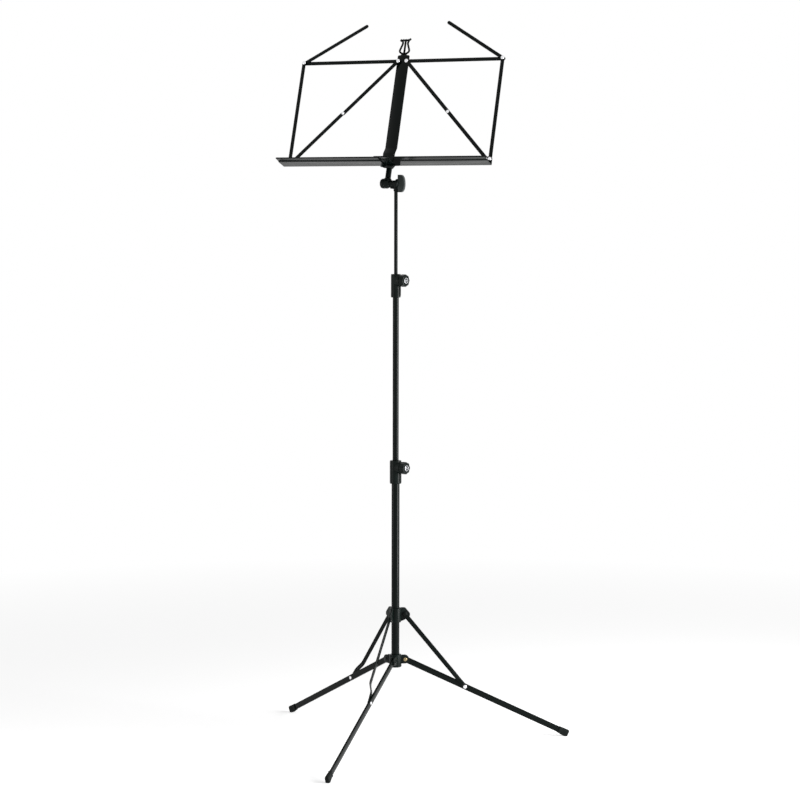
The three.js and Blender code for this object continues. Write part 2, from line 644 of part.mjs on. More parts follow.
// outline of a curve drawn with a pen of the given width
function strokeOutline(curve, width, steps) {
  const left = [];
  const right = [];
  for (let i = 0; i <= steps; i += 1) {
    const at = curve.getPoint(i / steps);
    const along = curve.getTangent(i / steps);
    left.push([at.x - (along.y * width) / 2, at.y + (along.x * width) / 2]);
    right.push([at.x + (along.y * width) / 2, at.y - (along.x * width) / 2]);
  }
  return polygon([...right, ...left.reverse()]);
}

// lyre-shaped finial: two curved arms, a stem and a crossbar with a ball and a curl
function lyreSlabs() {
  const slabs = [];
  const back = PLATE_BACK;
  const cut = (outline) => slabs.push(slab(outline, back, PLATE_THICK, 4));
  for (const side of [-1, 1]) {
    const arm = new THREE.CatmullRomCurve3([
      [side * 1, SHOULDER_S + 2.6], [side * (BOWL_HALF * 0.72), BOWL_S - 4.4], [side * BOWL_HALF, BOWL_S],
      [side * (BOWL_HALF * 0.8), (BOWL_S + WAIST_S) / 2 - 1], [side * WAIST_HALF, WAIST_S],
      [side * (WAIST_HALF + 2), CROSSBAR_S],
    ].map(([x, y]) => new THREE.Vector3(x, y, 0)));
    cut(strokeOutline(arm, STROKE, 14));
  }
  const stem = polygon([
    [-STEM_FOOT, SHOULDER_S], [STEM_FOOT, SHOULDER_S], [STEM_TOP, CROSSBAR_S], [-STEM_TOP, CROSSBAR_S],
  ]);
  cut(stem);
  const half = STROKE / 2;
  cut(polygon([
    [-CROSSBAR_HALF, CROSSBAR_S - half], [CROSSBAR_HALF - CURL_R, CROSSBAR_S - half],
    [CROSSBAR_HALF - CURL_R, CROSSBAR_S + half], [-CROSSBAR_HALF, CROSSBAR_S + half],
  ]));
  const curl = new THREE.CatmullRomCurve3([
    [CROSSBAR_HALF - 5, CROSSBAR_S], [CROSSBAR_HALF - CURL_R, CROSSBAR_S + 0.5],
    [CROSSBAR_HALF, CROSSBAR_S + CURL_RISE],
  ].map(([x, y]) => new THREE.Vector3(x, y, 0)));
  cut(strokeOutline(curl, STROKE, 6));
  const front = back + PLATE_THICK;
  slabs.push(rod(BALL_R, back, front, -CROSSBAR_HALF, CROSSBAR_S, 12));
  slabs.push(rod(CURL_R, back, front, CROSSBAR_HALF, CROSSBAR_S + CURL_RISE, 10));
  for (const x of [-5.4, -1.8, 1.8, 5.4]) {
    slabs.push(rod(BUMP_R, back, front, x, CROSSBAR_S + half, 8));
  }
  return slabs;
}

function plateBody() {
  const front = FOOT_BACK + PLATE_THICK;
  const profile = polygon([
    [FOOT_BACK, PLATE_FOOT], [front, PLATE_FOOT], [front, JOGGLE_LOW + 1], [PLATE_FRONT, JOGGLE_HIGH + 1],
    [PLATE_FRONT, SHOULDER_S - 8], [PLATE_BACK, SHOULDER_S - 8],
    [PLATE_BACK, JOGGLE_HIGH], [FOOT_BACK, JOGGLE_LOW],
  ]);
  const strip = transformed(slab(profile, -PLATE_HALF, 2 * PLATE_HALF), sectionMatrix());
  const top = new THREE.Shape();
  const start = SHOULDER_S - 9;
  top.moveTo(-PLATE_HALF, start);
  top.lineTo(PLATE_HALF, start);
  top.lineTo(PLATE_HALF, SHOULDER_S - 3);
  top.quadraticCurveTo(PLATE_HALF, SHOULDER_S + 0.6, PLATE_HALF - 4, SHOULDER_S);
  top.quadraticCurveTo(NECK_HALF + 1, SHOULDER_S - 0.6, NECK_HALF, SHOULDER_S + 2.2);
  top.lineTo(NECK_HALF * 0.7, SHOULDER_S + 4.4);
  top.lineTo(-NECK_HALF * 0.7, SHOULDER_S + 4.4);
  top.lineTo(-NECK_HALF, SHOULDER_S + 2.2);
  top.quadraticCurveTo(-NECK_HALF - 1, SHOULDER_S - 0.6, -PLATE_HALF + 4, SHOULDER_S);
  top.quadraticCurveTo(-PLATE_HALF, SHOULDER_S + 0.6, -PLATE_HALF, SHOULDER_S - 3);
  top.closePath();
  let body = unite([strip, slab(top, PLATE_BACK, PLATE_THICK, 4), ...lyreSlabs()]);
  for (const side of [-1, 1]) {
    const corner = polygon([
      [PLATE_HALF / 2, PLATE_FOOT - 1], [PLATE_HALF + 1, PLATE_FOOT - 1],
      [PLATE_HALF + 1, PLATE_FOOT + FOOT_CORNER], [PLATE_HALF, PLATE_FOOT + FOOT_CORNER],
      [PLATE_HALF / 2, PLATE_FOOT],
    ]);
    const cut = slab(corner, FOOT_BACK - 1, PLATE_THICK + 2);
    body = body.subtract(side > 0 ? cut : transformed(cut, mirror(side)));
    for (const height of [LOW_PIVOT_S, HIGH_PIVOT_S]) {
      body = body.subtract(rod(PIN_R + GAP, 0, front + 1, side * CENTRE_PIVOT_A, height, 14));
    }
  }
  return body;
}

// maps an outline drawn as (Z, Y) of the desk and extruded along minus X
function sectionMatrix() {
  const x = new THREE.Vector3(0, 0, 1);
  const y = new THREE.Vector3(0, 1, 0);
  const z = new THREE.Vector3(-1, 0, 0);
  return new THREE.Matrix4().makeBasis(x, y, z);
}

// ledge cross-section: flat shelf, raised bead line, front strip and a small lip
function ledgeSection(lift) {
  const b = FLANGE_BACK;
  const t = TRAY_SHEET;
  const shelf = LEDGE_S + lift;
  const strip = shelf + BEAD_RISE;
  const end = b + LEDGE_DEPTH + STRIP_DEPTH;
  const outer = [
    [b, shelf], [b + LEDGE_DEPTH, shelf], [b + LEDGE_DEPTH + t, strip], [end, strip + 0.5],
    [end, strip + LIP_RISE],
  ];
  const inner = [
    [end - t, strip + LIP_RISE], [end - t, strip + t + 0.5], [b + LEDGE_DEPTH, strip + t],
    [b + LEDGE_DEPTH - t, shelf + t], [b + t + BEND_R, shelf + t], [b + t, shelf + t + BEND_R],
    [b, shelf + t + BEND_R],
  ];
  return polygon([...outer, ...inner]);
}

function ledge(from, to, lift = 0) {
  return transformed(slab(ledgeSection(lift), -to, to - from), sectionMatrix());
}

// removes what lies beyond a slanted line across the ledge
function slantCut(start, direction) {
  const near = FLANGE_BACK - 1;
  const far = FLANGE_BACK + LEDGE_DEPTH + STRIP_DEPTH + 1;
  const at = (depth) => start + (depth - FLANGE_FRONT) * JOINT_SLANT;
  const reach = direction * OUTER_PIVOT_A;
  const corners = [[at(near), near], [at(far), far], [at(far) + reach, far], [at(near) + reach, near]];
  const outline = polygon(direction > 0 ? corners.reverse() : corners);
  const prism = slab(outline, -(LEDGE_S + BEYOND), 2 * BEYOND);
  return transformed(prism, new THREE.Matrix4().makeBasis(
    new THREE.Vector3(1, 0, 0), new THREE.Vector3(0, 0, 1), new THREE.Vector3(0, -1, 0)));
}

function flangeOutline(inner, outerEnd) {
  const shape = new THREE.Shape();
  const earTop = LOW_PIVOT_S + EAR_R;
  shape.moveTo(inner, LEDGE_S);
  shape.lineTo(outerEnd, LEDGE_S);
  shape.lineTo(OUTER_PIVOT_A + EAR_R, LOW_PIVOT_S - 2);
  shape.absarc(OUTER_PIVOT_A, LOW_PIVOT_S, EAR_R, 0, Math.PI / 2, false);
  shape.lineTo(OUTER_PIVOT_A - FLANGE_INSET + 4, earTop);
  shape.lineTo(OUTER_PIVOT_A - FLANGE_INSET, FLANGE_TOP);
  shape.lineTo(inner + 3, FLANGE_TOP);
  shape.lineTo(inner, FLANGE_TOP - 3);
  shape.closePath();
  return punched(shape, [
    [CENTRE_PIVOT_A, LOW_PIVOT_S, PIN_R + GAP],
    [OUTER_PIVOT_A, LOW_PIVOT_S, PIN_R + GAP],
    [SMALL_RIVET_A, SMALL_RIVET_S, PIN_R + GAP],
  ]);
}

const mirror = (side) => new THREE.Matrix4().makeScale(side, 1, 1);

function trayBody(side) {
  const outerEnd = side > 0 ? TRAY_END_RIGHT : TRAY_END_LEFT;
  const inner = CENTRE_PIVOT_A - PIVOT_REACH;
  const flange = transformed(slab(flangeOutline(inner, outerEnd), FLANGE_BACK, TRAY_SHEET, 5), mirror(side));
  if (side > 0) {
    const shelf = ledge(RIGHT_START - 12, outerEnd).subtract(slantCut(RIGHT_START, -1));
    return flange.add(shelf);
  }
  const shelf = ledge(-outerEnd, HALF_JOINT);
  const tongue = ledge(-TONGUE_ROOT, TONGUE_END + BEYOND, TRAY_SHEET).subtract(slantCut(TONGUE_END, 1));
  return unite([flange, shelf, tongue]);
}

// ---------- desk linkage ----------
const lowOuter = new THREE.Vector2(SMALL_RIVET_A, SMALL_RIVET_S);
const highCentre = new THREE.Vector2(CENTRE_PIVOT_A, HIGH_PIVOT_S);
const diagonalSpan = lowOuter.distanceTo(highCentre);
// the small rivet's place when the tray half stands upright, which sets where the diagonal folds
const foldedRivet = new THREE.Vector2(
  CENTRE_PIVOT_A - (SMALL_RIVET_S - LOW_PIVOT_S),
  LOW_PIVOT_S + (SMALL_RIVET_A - CENTRE_PIVOT_A));
const upperDiagonal = (diagonalSpan + foldedRivet.distanceTo(highCentre)) / 2;
const lowerDiagonal = diagonalSpan - upperDiagonal;
const diagonalAngle = Math.atan2(lowOuter.y - highCentre.y, lowOuter.x - highCentre.x);
const middleRivet = highCentre.clone().lerp(lowOuter, upperDiagonal / diagonalSpan);

function flatBar(length, radius, layer) {
  const outline = punched(barOutline(length, radius), [[0, 0, PIN_R + GAP], [length, 0, PIN_R + GAP]]);
  return slab(outline, LAYER[layer], SHEET, 6);
}

function placeBar(name, length, radius, layer, start, angle, side) {
  const turn = new THREE.Matrix4().makeRotationZ(angle).setPosition(start.x, start.y, 0);
  const body = transformed(flatBar(length, radius, layer), turn);
  piece(name, transformed(body, mirror(side)), blackSteel, desk);
}

function placeRivet(name, options, point, side, look = nickel) {
  piece(name, rivet(options), look, desk).position.set(side * point.x, point.y, 0);
}

function makeSide(side, label) {
  piece(`${label}_tray`, trayBody(side), blackSteel, desk);
  const high = HIGH_PIVOT_S;
  const outerHigh = new THREE.Vector2(OUTER_PIVOT_A, high);
  const outerLow = new THREE.Vector2(OUTER_PIVOT_A, LOW_PIVOT_S);
  const rise = side > 0 ? ARM_ANGLE_RIGHT : ARM_ANGLE_LEFT;
  placeBar(`${label}_upper_bar`, OUTER_PIVOT_A - CENTRE_PIVOT_A, BAR_R, 0, highCentre, 0, side);
  placeBar(`${label}_outer_bar`, high - LOW_PIVOT_S, BAR_R, 3, outerLow, Math.PI / 2, side);
  placeBar(`${label}_upper_diagonal`, upperDiagonal, DIAGONAL_R, 1, highCentre, diagonalAngle, side);
  placeBar(`${label}_lower_diagonal`, lowerDiagonal, DIAGONAL_R, 2, lowOuter, diagonalAngle + Math.PI, side);
  const arm = slab(punched(barOutline(ARM_LENGTH, ARM_R), [[0, 0, PIN_R + GAP]]), LAYER[1], SHEET, 6);
  const armTurn = new THREE.Matrix4().makeRotationZ(Math.PI - rad(rise));
  armTurn.setPosition(outerHigh.x, outerHigh.y, 0);
  piece(`${label}_page_arm`, transformed(transformed(arm, armTurn), mirror(side)), blackSteel, desk);

  const over = (layer) => LAYER[layer] + SHEET + GAP;
  placeRivet(`${label}_top_rivet`, { back: PLATE_BACK, front: over(1), tail: HEAD_H }, highCentre, side);
  const shoulder = [over(1), LAYER[3] - GAP];
  const cornerStack = { back: LAYER[0] - GAP, front: over(3), tail: 0.8, shoulder };
  placeRivet(`${label}_corner_rivet`, cornerStack, outerHigh, side);
  const middleStack = { back: LAYER[2], front: LAYER[2] + SHEET + GAP / 2 };
  placeRivet(`${label}_middle_rivet`, middleStack, middleRivet, side);
  const proud = FLANGE_FRONT + GAP;
  placeRivet(`${label}_tray_rivet`, { back: LAYER[3], front: proud }, outerLow, side);
  placeRivet(`${label}_small_rivet`, { back: LAYER[2], front: proud, headR: 2.5 }, lowOuter, side);
  const pivot = new THREE.Vector2(CENTRE_PIVOT_A, LOW_PIVOT_S);
  const pivotStack = { back: FOOT_BACK, front: proud, tail: 1 };
  placeRivet(`${label}_tray_pivot`, pivotStack, pivot, side, blackSteel);
}

// ---------- assembly ----------
makeHub();
makeTubes();
makeCollar();
['front', 'right', 'left'].forEach((label, index) => makeLeg(index, label));
makeClamp('lower', LOWER_CLAMP_Z, LOWER_CLAMP_R, LOWER_TUBE_R, MIDDLE_TUBE_R, KNOB_RISE_LOWER);
makeClamp('upper', UPPER_CLAMP_Z, UPPER_CLAMP_R, MIDDLE_TUBE_R, ROD_R, KNOB_RISE_UPPER);
makeTilter();
makeShaft();
makeBracket();
piece('centre_plate', plateBody(), blackSteel, desk);
makeSide(-1, 'left');
makeSide(1, 'right');

// the origin lies on the floor, under the middle of the whole stand
const bounds = new THREE.Box3().setFromObject(stand);
const middle = bounds.getCenter(new THREE.Vector3());
stand.position.set(-middle.x, -middle.y, FLOOR - bounds.min.z);

export default stand;
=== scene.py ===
"""Folding music stand: the visible pieces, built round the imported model. Local lengths are in millimetres."""

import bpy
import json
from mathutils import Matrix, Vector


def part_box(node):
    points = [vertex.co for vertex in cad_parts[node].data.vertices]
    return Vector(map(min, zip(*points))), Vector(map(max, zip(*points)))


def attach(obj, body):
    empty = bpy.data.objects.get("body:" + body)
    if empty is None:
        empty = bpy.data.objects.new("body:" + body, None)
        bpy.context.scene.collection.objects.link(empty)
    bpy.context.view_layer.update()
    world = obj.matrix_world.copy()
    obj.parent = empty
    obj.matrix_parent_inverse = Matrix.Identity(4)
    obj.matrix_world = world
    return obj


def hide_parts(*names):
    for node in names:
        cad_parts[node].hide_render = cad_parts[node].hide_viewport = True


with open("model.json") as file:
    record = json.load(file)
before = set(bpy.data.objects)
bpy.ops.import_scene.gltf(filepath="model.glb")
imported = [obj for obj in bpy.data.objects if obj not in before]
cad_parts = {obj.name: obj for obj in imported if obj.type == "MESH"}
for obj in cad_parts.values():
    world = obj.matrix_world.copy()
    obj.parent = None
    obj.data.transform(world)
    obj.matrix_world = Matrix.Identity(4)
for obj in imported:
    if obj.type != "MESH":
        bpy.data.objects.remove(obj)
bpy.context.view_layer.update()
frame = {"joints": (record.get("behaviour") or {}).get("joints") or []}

import json
from math import atan2, cos, hypot, pi, radians, sin

import bmesh
import bpy
from mathutils import Matrix, Vector

bl_info = {
    "name": "Folding Music Stand",
    "version": (1, 0, 0),
    "blender": (4, 5, 0),
    "location": "3D View > Sidebar > Stand",
    "description": "Builds a folding music stand, piece by piece, and a plain stage for it",
    "category": "Add Mesh",
}

MM = 0.001
UP = Vector((0, 0, 1))
GAP = 0.3  # clearance between pieces that touch
JOINTS = {joint["name"]: joint for joint in frame["joints"]}
LEGS = ("front", "right", "left")
SIDES = {"left": -1, "right": 1}


# ---------- local frames ----------
def frame_of(x, y, z, origin):
    """From millimetres along x, y and z to the row frame in metres."""
    turn = Matrix((x, y, z)).transposed().to_4x4()
    turn.translation = origin
    return turn @ Matrix.Scale(MM, 4)


def joint_axis(name):
    return Vector(JOINTS[name]["axis"]).normalized()


def joint_at(name):
    return Vector(JOINTS[name]["pos_m"])


def column_origin():
    low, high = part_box("lower_tube")
    return Vector(((low.x + high.x) / 2, (low.y + high.y) / 2, 0))


COLUMN_AT = column_origin()
COLUMN = frame_of(Vector((1, 0, 0)), Vector((0, 1, 0)), UP, COLUMN_AT)


def leg_frame(label):
    """x runs out along the leg, y up, z to the side where the strut lies."""
    near = joint_axis(f"{label}_leg_fold")
    return frame_of(UP.cross(near), UP, near, COLUMN_AT)


def knob_frame(prefix):
    """z runs out along the clamp's screw and y up."""
    out = joint_axis(f"{prefix}_clamp_screw_turn")
    return frame_of(UP.cross(out), UP, out, joint_at(f"{prefix}_clamp_screw_turn"))


TILT_AXIS = joint_axis("desk_tilt")
TILT_AT = joint_at("desk_tilt")
DESK_FACE = joint_axis("right_tray_fold")
DESK = frame_of(TILT_AXIS, DESK_FACE.cross(TILT_AXIS), DESK_FACE, TILT_AT)
DESK_OFFSET = (TILT_AT - COLUMN_AT).dot(TILT_AXIS) / MM
UP_DESK = DESK @ Matrix.Rotation(-pi / 2, 4, "X")  # z up the desk
# z along the tilt axis, measured from the column, y up
TILT = frame_of(UP.cross(TILT_AXIS), UP, TILT_AXIS, COLUMN_AT + UP * TILT_AT.z)
ALONG_TILT = TILT @ Matrix.Rotation(pi / 2, 4, "Y")  # x against the tilt axis, y up

# ---------- layout of the tripod, in leg frames ----------
HUB_LOW, HUB_HIGH, HUB_RADIUS = 161.0, 187.5, 13.0
HUB_PIVOT = Vector((20.7, 176.0))
LUG_RADIUS = 8.8
CHEEKS = ((-8.6, -6.0), (-1.4, 1.2))
FOOT = Vector((366.5, 8.0))
LEG_SIDE = -3.7  # the leg runs beside the plane through the column
COLLAR_PIVOT = Vector((19.3, 272.6))
COLLAR_LOW, COLLAR_HIGH, COLLAR_RADIUS = 256.0, 286.8, 12.0
EAR_REACH = 30.9
EAR_SIDES = (-1.2, 1.0)
LEG_RIVET_ALONG = 142.4
STRUT_TOP, STRUT_BENT, STRUT_FOOT = 2.3, 7.4, -0.4  # side of the strut at its top, before and after its bend
BEND_START, BEND_END = 0.79, 0.88
CAP_START, CAP_END = 16.0, 7.0  # the cap starts before and ends beyond the leg's end
CAP_HOLD, CAP_DROP = 6.9, 3.05  # the channel stops this far inside the cap, which droops this far below it


def line_between(start, end):
    """Slope and length of the line from one point to another."""
    run = end - start
    return atan2(run.y, run.x), run.length


LEG_SLOPE, LEG_SPAN = line_between(HUB_PIVOT, FOOT)
LEG_RIVET = HUB_PIVOT + Vector((cos(LEG_SLOPE), sin(LEG_SLOPE))) * LEG_RIVET_ALONG
STRUT_SLOPE, STRUT_SPAN = line_between(COLLAR_PIVOT, LEG_RIVET)

# ---------- layout of the tilting joint, along the tilt axis from the column ----------
BOSS_INNER = DESK_OFFSET + 6.4
BOSS_OUTER = BOSS_INNER - 20.6
NECK_RADIUS, FLANGE_RADIUS, FLANGE_END = 6.8, 9.6, 5.1
BOLT_RADIUS, BOLT_END = 3.0, 14.0

# ---------- layout of the desk, in the desk frame: x right, y up the desk, z to the player ----------
PLATE_BACK, PLATE_THICK = 3.0, 2.0
LAYERS = (5.3, 7.1, 8.9, 10.7)  # back faces of the four sheet layers
FLANGE_BACK, TRAY_SHEET = 12.5, 1.2
FLANGE_FRONT = FLANGE_BACK + TRAY_SHEET
FOOT_BACK = FLANGE_BACK - GAP - PLATE_THICK
PLATE_FOOT, JOGGLE_LOW, JOGGLE_HIGH, SHOULDER = 30.0, 62.0, 76.0, 283.0
BRACKET_LOW, SHAFT_TOP = 34.2, 39.0
LOW_PIVOT = Vector((9.3, 47.2))
HIGH_PIVOT = Vector((9.3, 268.8))
OUTER_LOW = Vector((224.6, 47.2))
OUTER_HIGH = Vector((224.6, 268.8))
SMALL_RIVET = Vector((217.6, 47.2))
GUSSET_HALF, GUSSET_TOP = 20.5, LOW_PIVOT.y - 5.4
LEDGE, LEDGE_DEPTH, STRIP_DEPTH = 34.0, 28.0, 15.0
BEAD_RISE, LIP_RISE = 1.4, 3.4
FLANGE_TOP = 54.6
TRAY_ENDS = {"left": 236.0, "right": 230.2}
ARM_RISE = {"left": 31.3, "right": 32.5}
JOINT_SLANT = 0.4


def rivet_in_diagonal():
    """Where the two diagonals meet, so that both fold against the centre plate."""
    folded = Vector((LOW_PIVOT.x - (SMALL_RIVET.y - LOW_PIVOT.y), LOW_PIVOT.y + SMALL_RIVET.x - LOW_PIVOT.x))
    span = (SMALL_RIVET - HIGH_PIVOT).length
    upper = (span + (folded - HIGH_PIVOT).length) / 2
    return HIGH_PIVOT.lerp(SMALL_RIVET, upper / span)


MIDDLE_RIVET = rivet_in_diagonal()


# ---------- settings ----------
def setting(name, default, description, kind=bpy.props.FloatProperty, **more):
    return kind(name=name, description=description, default=default, **more)


def length(name, millimetres, description):
    return setting(name, millimetres * MM, description, min=0.0, unit="LENGTH", precision=4)


def number(name, default, description, low, high):
    return setting(name, default, description, min=low, max=high)


def angle(name, degrees, description):
    return setting(name, radians(degrees), description, subtype="ANGLE")


def count(name, default, description):
    return setting(name, default, description, bpy.props.IntProperty, min=3, max=256)


def colour(name, default, description):
    return setting(name, default, description, bpy.props.FloatVectorProperty, size=3, min=0.0, max=1.0,
                   subtype="COLOR")


class StandSizes(bpy.types.PropertyGroup):
    """Sizes of the stand's own pieces"""
    lower_radius: length("Lower tube radius", 8.4, "Outer radius of the lower tube")
    middle_radius: length("Middle tube radius", 6.4, "Outer radius of the middle tube")
    rod_radius: length("Rod radius", 3.8, "Radius of the upper rod")
    tube_wall: length("Tube wall", 1.2, "Wall of the two tubes")
    lower_sleeve: length("Lower clamp radius", 12.2, "Outer radius of the lower clamp sleeve")
    upper_sleeve: length("Upper clamp radius", 10.2, "Outer radius of the upper clamp sleeve")
    sleeve_height: length("Clamp height", 48.5, "Height of each clamp sleeve")
    knob_radius: length("Clamp knob radius", 12.9, "Radius over the knob's lobes")
    knob_depth: length("Clamp knob depth", 11.5, "Length of the knob along its screw")
    knob_lobes: count("Knob lobes", 8, "Number of grip flutes round a clamp knob")
    disc_radius: length("Screw disc radius", 6.2, "Radius of the bright disc in a clamp knob")
    leg_height: length("Leg height", 12.3, "Height of the leg channel")
    leg_width: length("Leg width", 4.0, "Width of the leg channel")
    leg_wall: length("Leg wall", 1.1, "Sheet thickness of the leg channel")
    strut_width: length("Strut width", 9.5, "Width of the flat struts")
    strut_thick: length("Strut thickness", 2.0, "Thickness of the flat struts")
    boot_width: length("Foot cap width", 8.6, "Width of the foot caps")
    ball_radius: length("Tilter boss radius", 10.4, "Radius of the round boss that tilts")
    wing_radius: length("Tilt knob radius", 18.0, "Radius of the half-round tilt knob")
    wing_depth: length("Tilt knob depth", 14.4, "Depth of the half-round tilt knob")
    wing_thick: length("Tilt knob thickness", 9.0, "Thickness of the half-round tilt knob")
    shaft_radius: length("Desk shaft radius", 6.0, "Radius of the shaft under the desk")
    bar_half: length("Bar half width", 3.9, "Half the width of the desk bars")
    arm_half: length("Page arm half width", 3.7, "Half the width of the page arms")
    arm_length: length("Page arm length", 155.0, "Length of the page arms between end centres")
    sheet: length("Sheet thickness", 1.5, "Thickness of the desk bars")
    plate_half: length("Centre plate half width", 13.2, "Half the width of the centre plate")
    stroke: length("Lyre stroke", 4.0, "Width of the strips in the lyre")
    rivet_head: length("Rivet head radius", 4.0, "Radius of the rivet heads")
    rivet_rise: length("Rivet head height", 1.4, "Height of the rivet heads")
    round_count: count("Round segments", 48, "Segments round a turned piece")


class StandFinishes(bpy.types.PropertyGroup):
    """Colours and gloss of the finishes"""
    steel: colour("Powder coat", (0.0014, 0.0036, 0.003), "Colour of the coated steel")
    steel_rough: number("Powder coat roughness", 0.22, "Mean roughness of the coated steel", 0.0, 1.0)
    plastic: colour("Moulded plastic", (0.002, 0.0042, 0.0036), "Colour of the moulded pieces")
    plastic_rough: number("Plastic roughness", 0.28, "Mean roughness of the moulded pieces", 0.0, 1.0)
    wing: colour("Tilt knob", (0.019, 0.0235, 0.023), "Colour of the half-round tilt knob")
    rubber: colour("Foot caps", (0.0026, 0.0042, 0.0038), "Colour of the foot caps")
    nickel: colour("Nickel", (0.86, 0.86, 0.88), "Colour of the plated rivets and bolt")
    disc: colour("Screw discs", (0.55, 0.56, 0.58), "Colour of the plated discs in the clamp knobs")
    brass: colour("Brass", (0.3, 0.235, 0.13), "Colour of the odd rivet in the hub")


class StandStage(bpy.types.PropertyGroup):
    """Camera, lights and floor"""
    lens: number("Lens", 101.66, "Focal length in millimetres on a 36 mm sensor", 1.0, 500.0)
    distance: length("Camera distance", 4685.94, "From the column to the camera")
    height: length("Camera height", 1109.28, "Height of the camera over the floor")
    pitch: angle("Camera pitch", 4.71, "How far the camera looks down")
    yaw: angle("Camera yaw", 0.11, "How far the camera looks aside")
    roll: angle("Camera roll", -0.08, "How far the camera is tipped")
    key_power: number("Key light", 44.0, "Power of the tall light on the right, in watts", 0.0, 1000.0)
    fill_power: number("Fill light", 5.0, "Power of the light on the left, in watts", 0.0, 1000.0)
    sky: number("Surround light", 0.3, "Strength of the even light all round", 0.0, 5.0)
    floor: colour("Floor", (0.8, 0.8, 0.8), "Colour of the floor")


def sizes():
    return bpy.context.scene.stand_sizes


def mm(name):
    """A size from the settings, in millimetres."""
    return getattr(sizes(), name) / MM


# ---------- outlines ----------
def circle(radius, z, steps=None):
    steps = steps or sizes().round_count
    turn = [2 * pi * i / steps for i in range(steps)]
    return [(radius * cos(t), radius * sin(t), z) for t in turn]


def arc(x, y, radius, start, end, steps=8):
    """Points on an arc, angles in degrees."""
    turn = [radians(start + (end - start) * i / steps) for i in range(steps + 1)]
    return [(x + radius * cos(t), y + radius * sin(t)) for t in turn]


def rounded(points, radius, closed=True, steps=3):
    """The same line with its corners rounded off, each within its own share of the two sides."""
    share = 0.45
    line = [Vector(p) for p in points]
    out = []
    for i, corner in enumerate(line):
        if not closed and i in (0, len(line) - 1):
            out.append(corner)
            continue
        before, after = line[i - 1] - corner, line[(i + 1) % len(line)] - corner
        cut = min(radius, before.length * share, after.length * share)
        start, end = corner + before.normalized() * cut, corner + after.normalized() * cut
        for k in range(steps + 1):
            t = k / steps
            out.append(start * (1 - t) ** 2 + corner * (2 * t * (1 - t)) + end * t ** 2)
    return out


def drum(radius, low, high):
    """Profile of a plain round body."""
    return [(0, low), (radius, low), (radius, high), (0, high)]


def smooth_line(points, steps):
    """A Catmull-Rom line through the points."""
    line = [Vector(p) for p in points]
    line = [line[0] * 2 - line[1], *line, line[-1] * 2 - line[-2]]
    out = []
    for a, b, c, d in zip(line, line[1:], line[2:], line[3:]):
        for k in range(steps):
            t = k / steps
            out.append(0.5 * (2 * b + (c - a) * t + (2 * a - 5 * b + 4 * c - d) * t ** 2
                              + (3 * b - a - 3 * c + d) * t ** 3))
    return out + [line[-2]]


# ---------- closed shells ----------
LEAST_RADIUS = 0.02  # a round body is this wide on its axis
# the least angle of an edge that is bevelled, and of one that is shaded sharp
BEVEL_FROM, SHARP_FROM = radians(38), radians(45)
SAME_PLACE = 1e-7  # in metres; vertices that are nearer to each other are one


class Form:
    """Closed shells that are gathered in one mesh."""

    def __init__(self, place):
        self.place = place
        self.mesh = bmesh.new()

    def stack(self, rings, closed=False, place=None):
        """Skins equal rings in order. Both ends are capped, or the last ring joins the first."""
        place = place or self.place
        rows = [[self.mesh.verts.new(place @ Vector(p)) for p in ring] for ring in rings]
        pairs = list(zip(rows, rows[1:] + rows[:1] if closed else rows[1:]))
        for low, high in pairs:
            self.skin(low, high)
        if not closed:
            self.mesh.faces.new(rows[0][::-1])
            self.mesh.faces.new(rows[-1])
        return self

    def skin(self, low, high):
        """Faces between two equal rows of vertices."""
        for i in range(len(low)):
            k = (i + 1) % len(low)
            self.mesh.faces.new((low[i], low[k], high[k], high[i]))

    def turned(self, profile, corner=0.0, place=None, steps=None):
        """A round body about z from the (radius, height) corners of its profile."""
        if corner:
            profile = rounded(profile, corner, closed=False)
        return self.stack([circle(max(r, LEAST_RADIUS), z, steps) for r, z in profile], place=place)

    def tube(self, section, corner, place=None):
        """A round tube about z from the (radius, height) corners of its section."""
        return self.stack([circle(r, z) for r, z in rounded(section, corner)], closed=True, place=place)

    def pipe(self, outer, inner, low, high, corner=0.25):
        return self.tube([(inner, low), (outer, low), (outer, high), (inner, high)], corner)

    def plate(self, outline, low, high, place=None):
        """A flat plate between two heights."""
        return self.stack([[(x, y, z) for x, y in outline] for z in (low, high)], place=place)

    def strap(self, stations, thick):
        """A flat strip along x from (x, half width, side) stations."""
        half = thick / 2
        corners = ((-1, -half), (1, -half), (1, half), (-1, half))
        return self.stack([[(x, side * wide, z + up) for side, up in corners] for x, wide, z in stations])

    def loft(self, stations):
        """A rounded bar along x from (x, low, high, side, half width) stations."""
        rings = []
        for x, low, high, side, half in stations:
            corner = 0.72 * min(half, (high - low) / 2)
            box = [(side - half, low), (side + half, low), (side + half, high), (side - half, high)]
            rings.append([(x, y, z) for z, y in rounded(box, corner, steps=4)])
        return self.stack(rings)


def bar_ends(span, half):
    """Stations of the two round ends of a flat bar that runs from 0 to span."""
    first, steps = 12, 7
    turn = [radians(first + (90 - first) * i / steps) for i in range(steps + 1)]
    start = [(-half * cos(t), half * sin(t)) for t in turn]
    return start, [(span - x, wide) for x, wide in reversed(start)]


def add_object(name, data):
    obj = bpy.data.objects.new(name, data)
    bpy.context.scene.collection.objects.link(obj)
    return obj


def finish_piece(name, form, look, body, *nodes, edge=0.0, segments=2):
    """Turns a form into a finished object that rides on a body and stands for CAD nodes."""
    bmesh.ops.remove_doubles(form.mesh, verts=form.mesh.verts, dist=SAME_PLACE)
    bmesh.ops.recalc_face_normals(form.mesh, faces=form.mesh.faces)
    mesh = bpy.data.meshes.new(name)
    form.mesh.to_mesh(mesh)
    form.mesh.free()
    return dress(name, mesh, look, body, nodes, edge, segments)


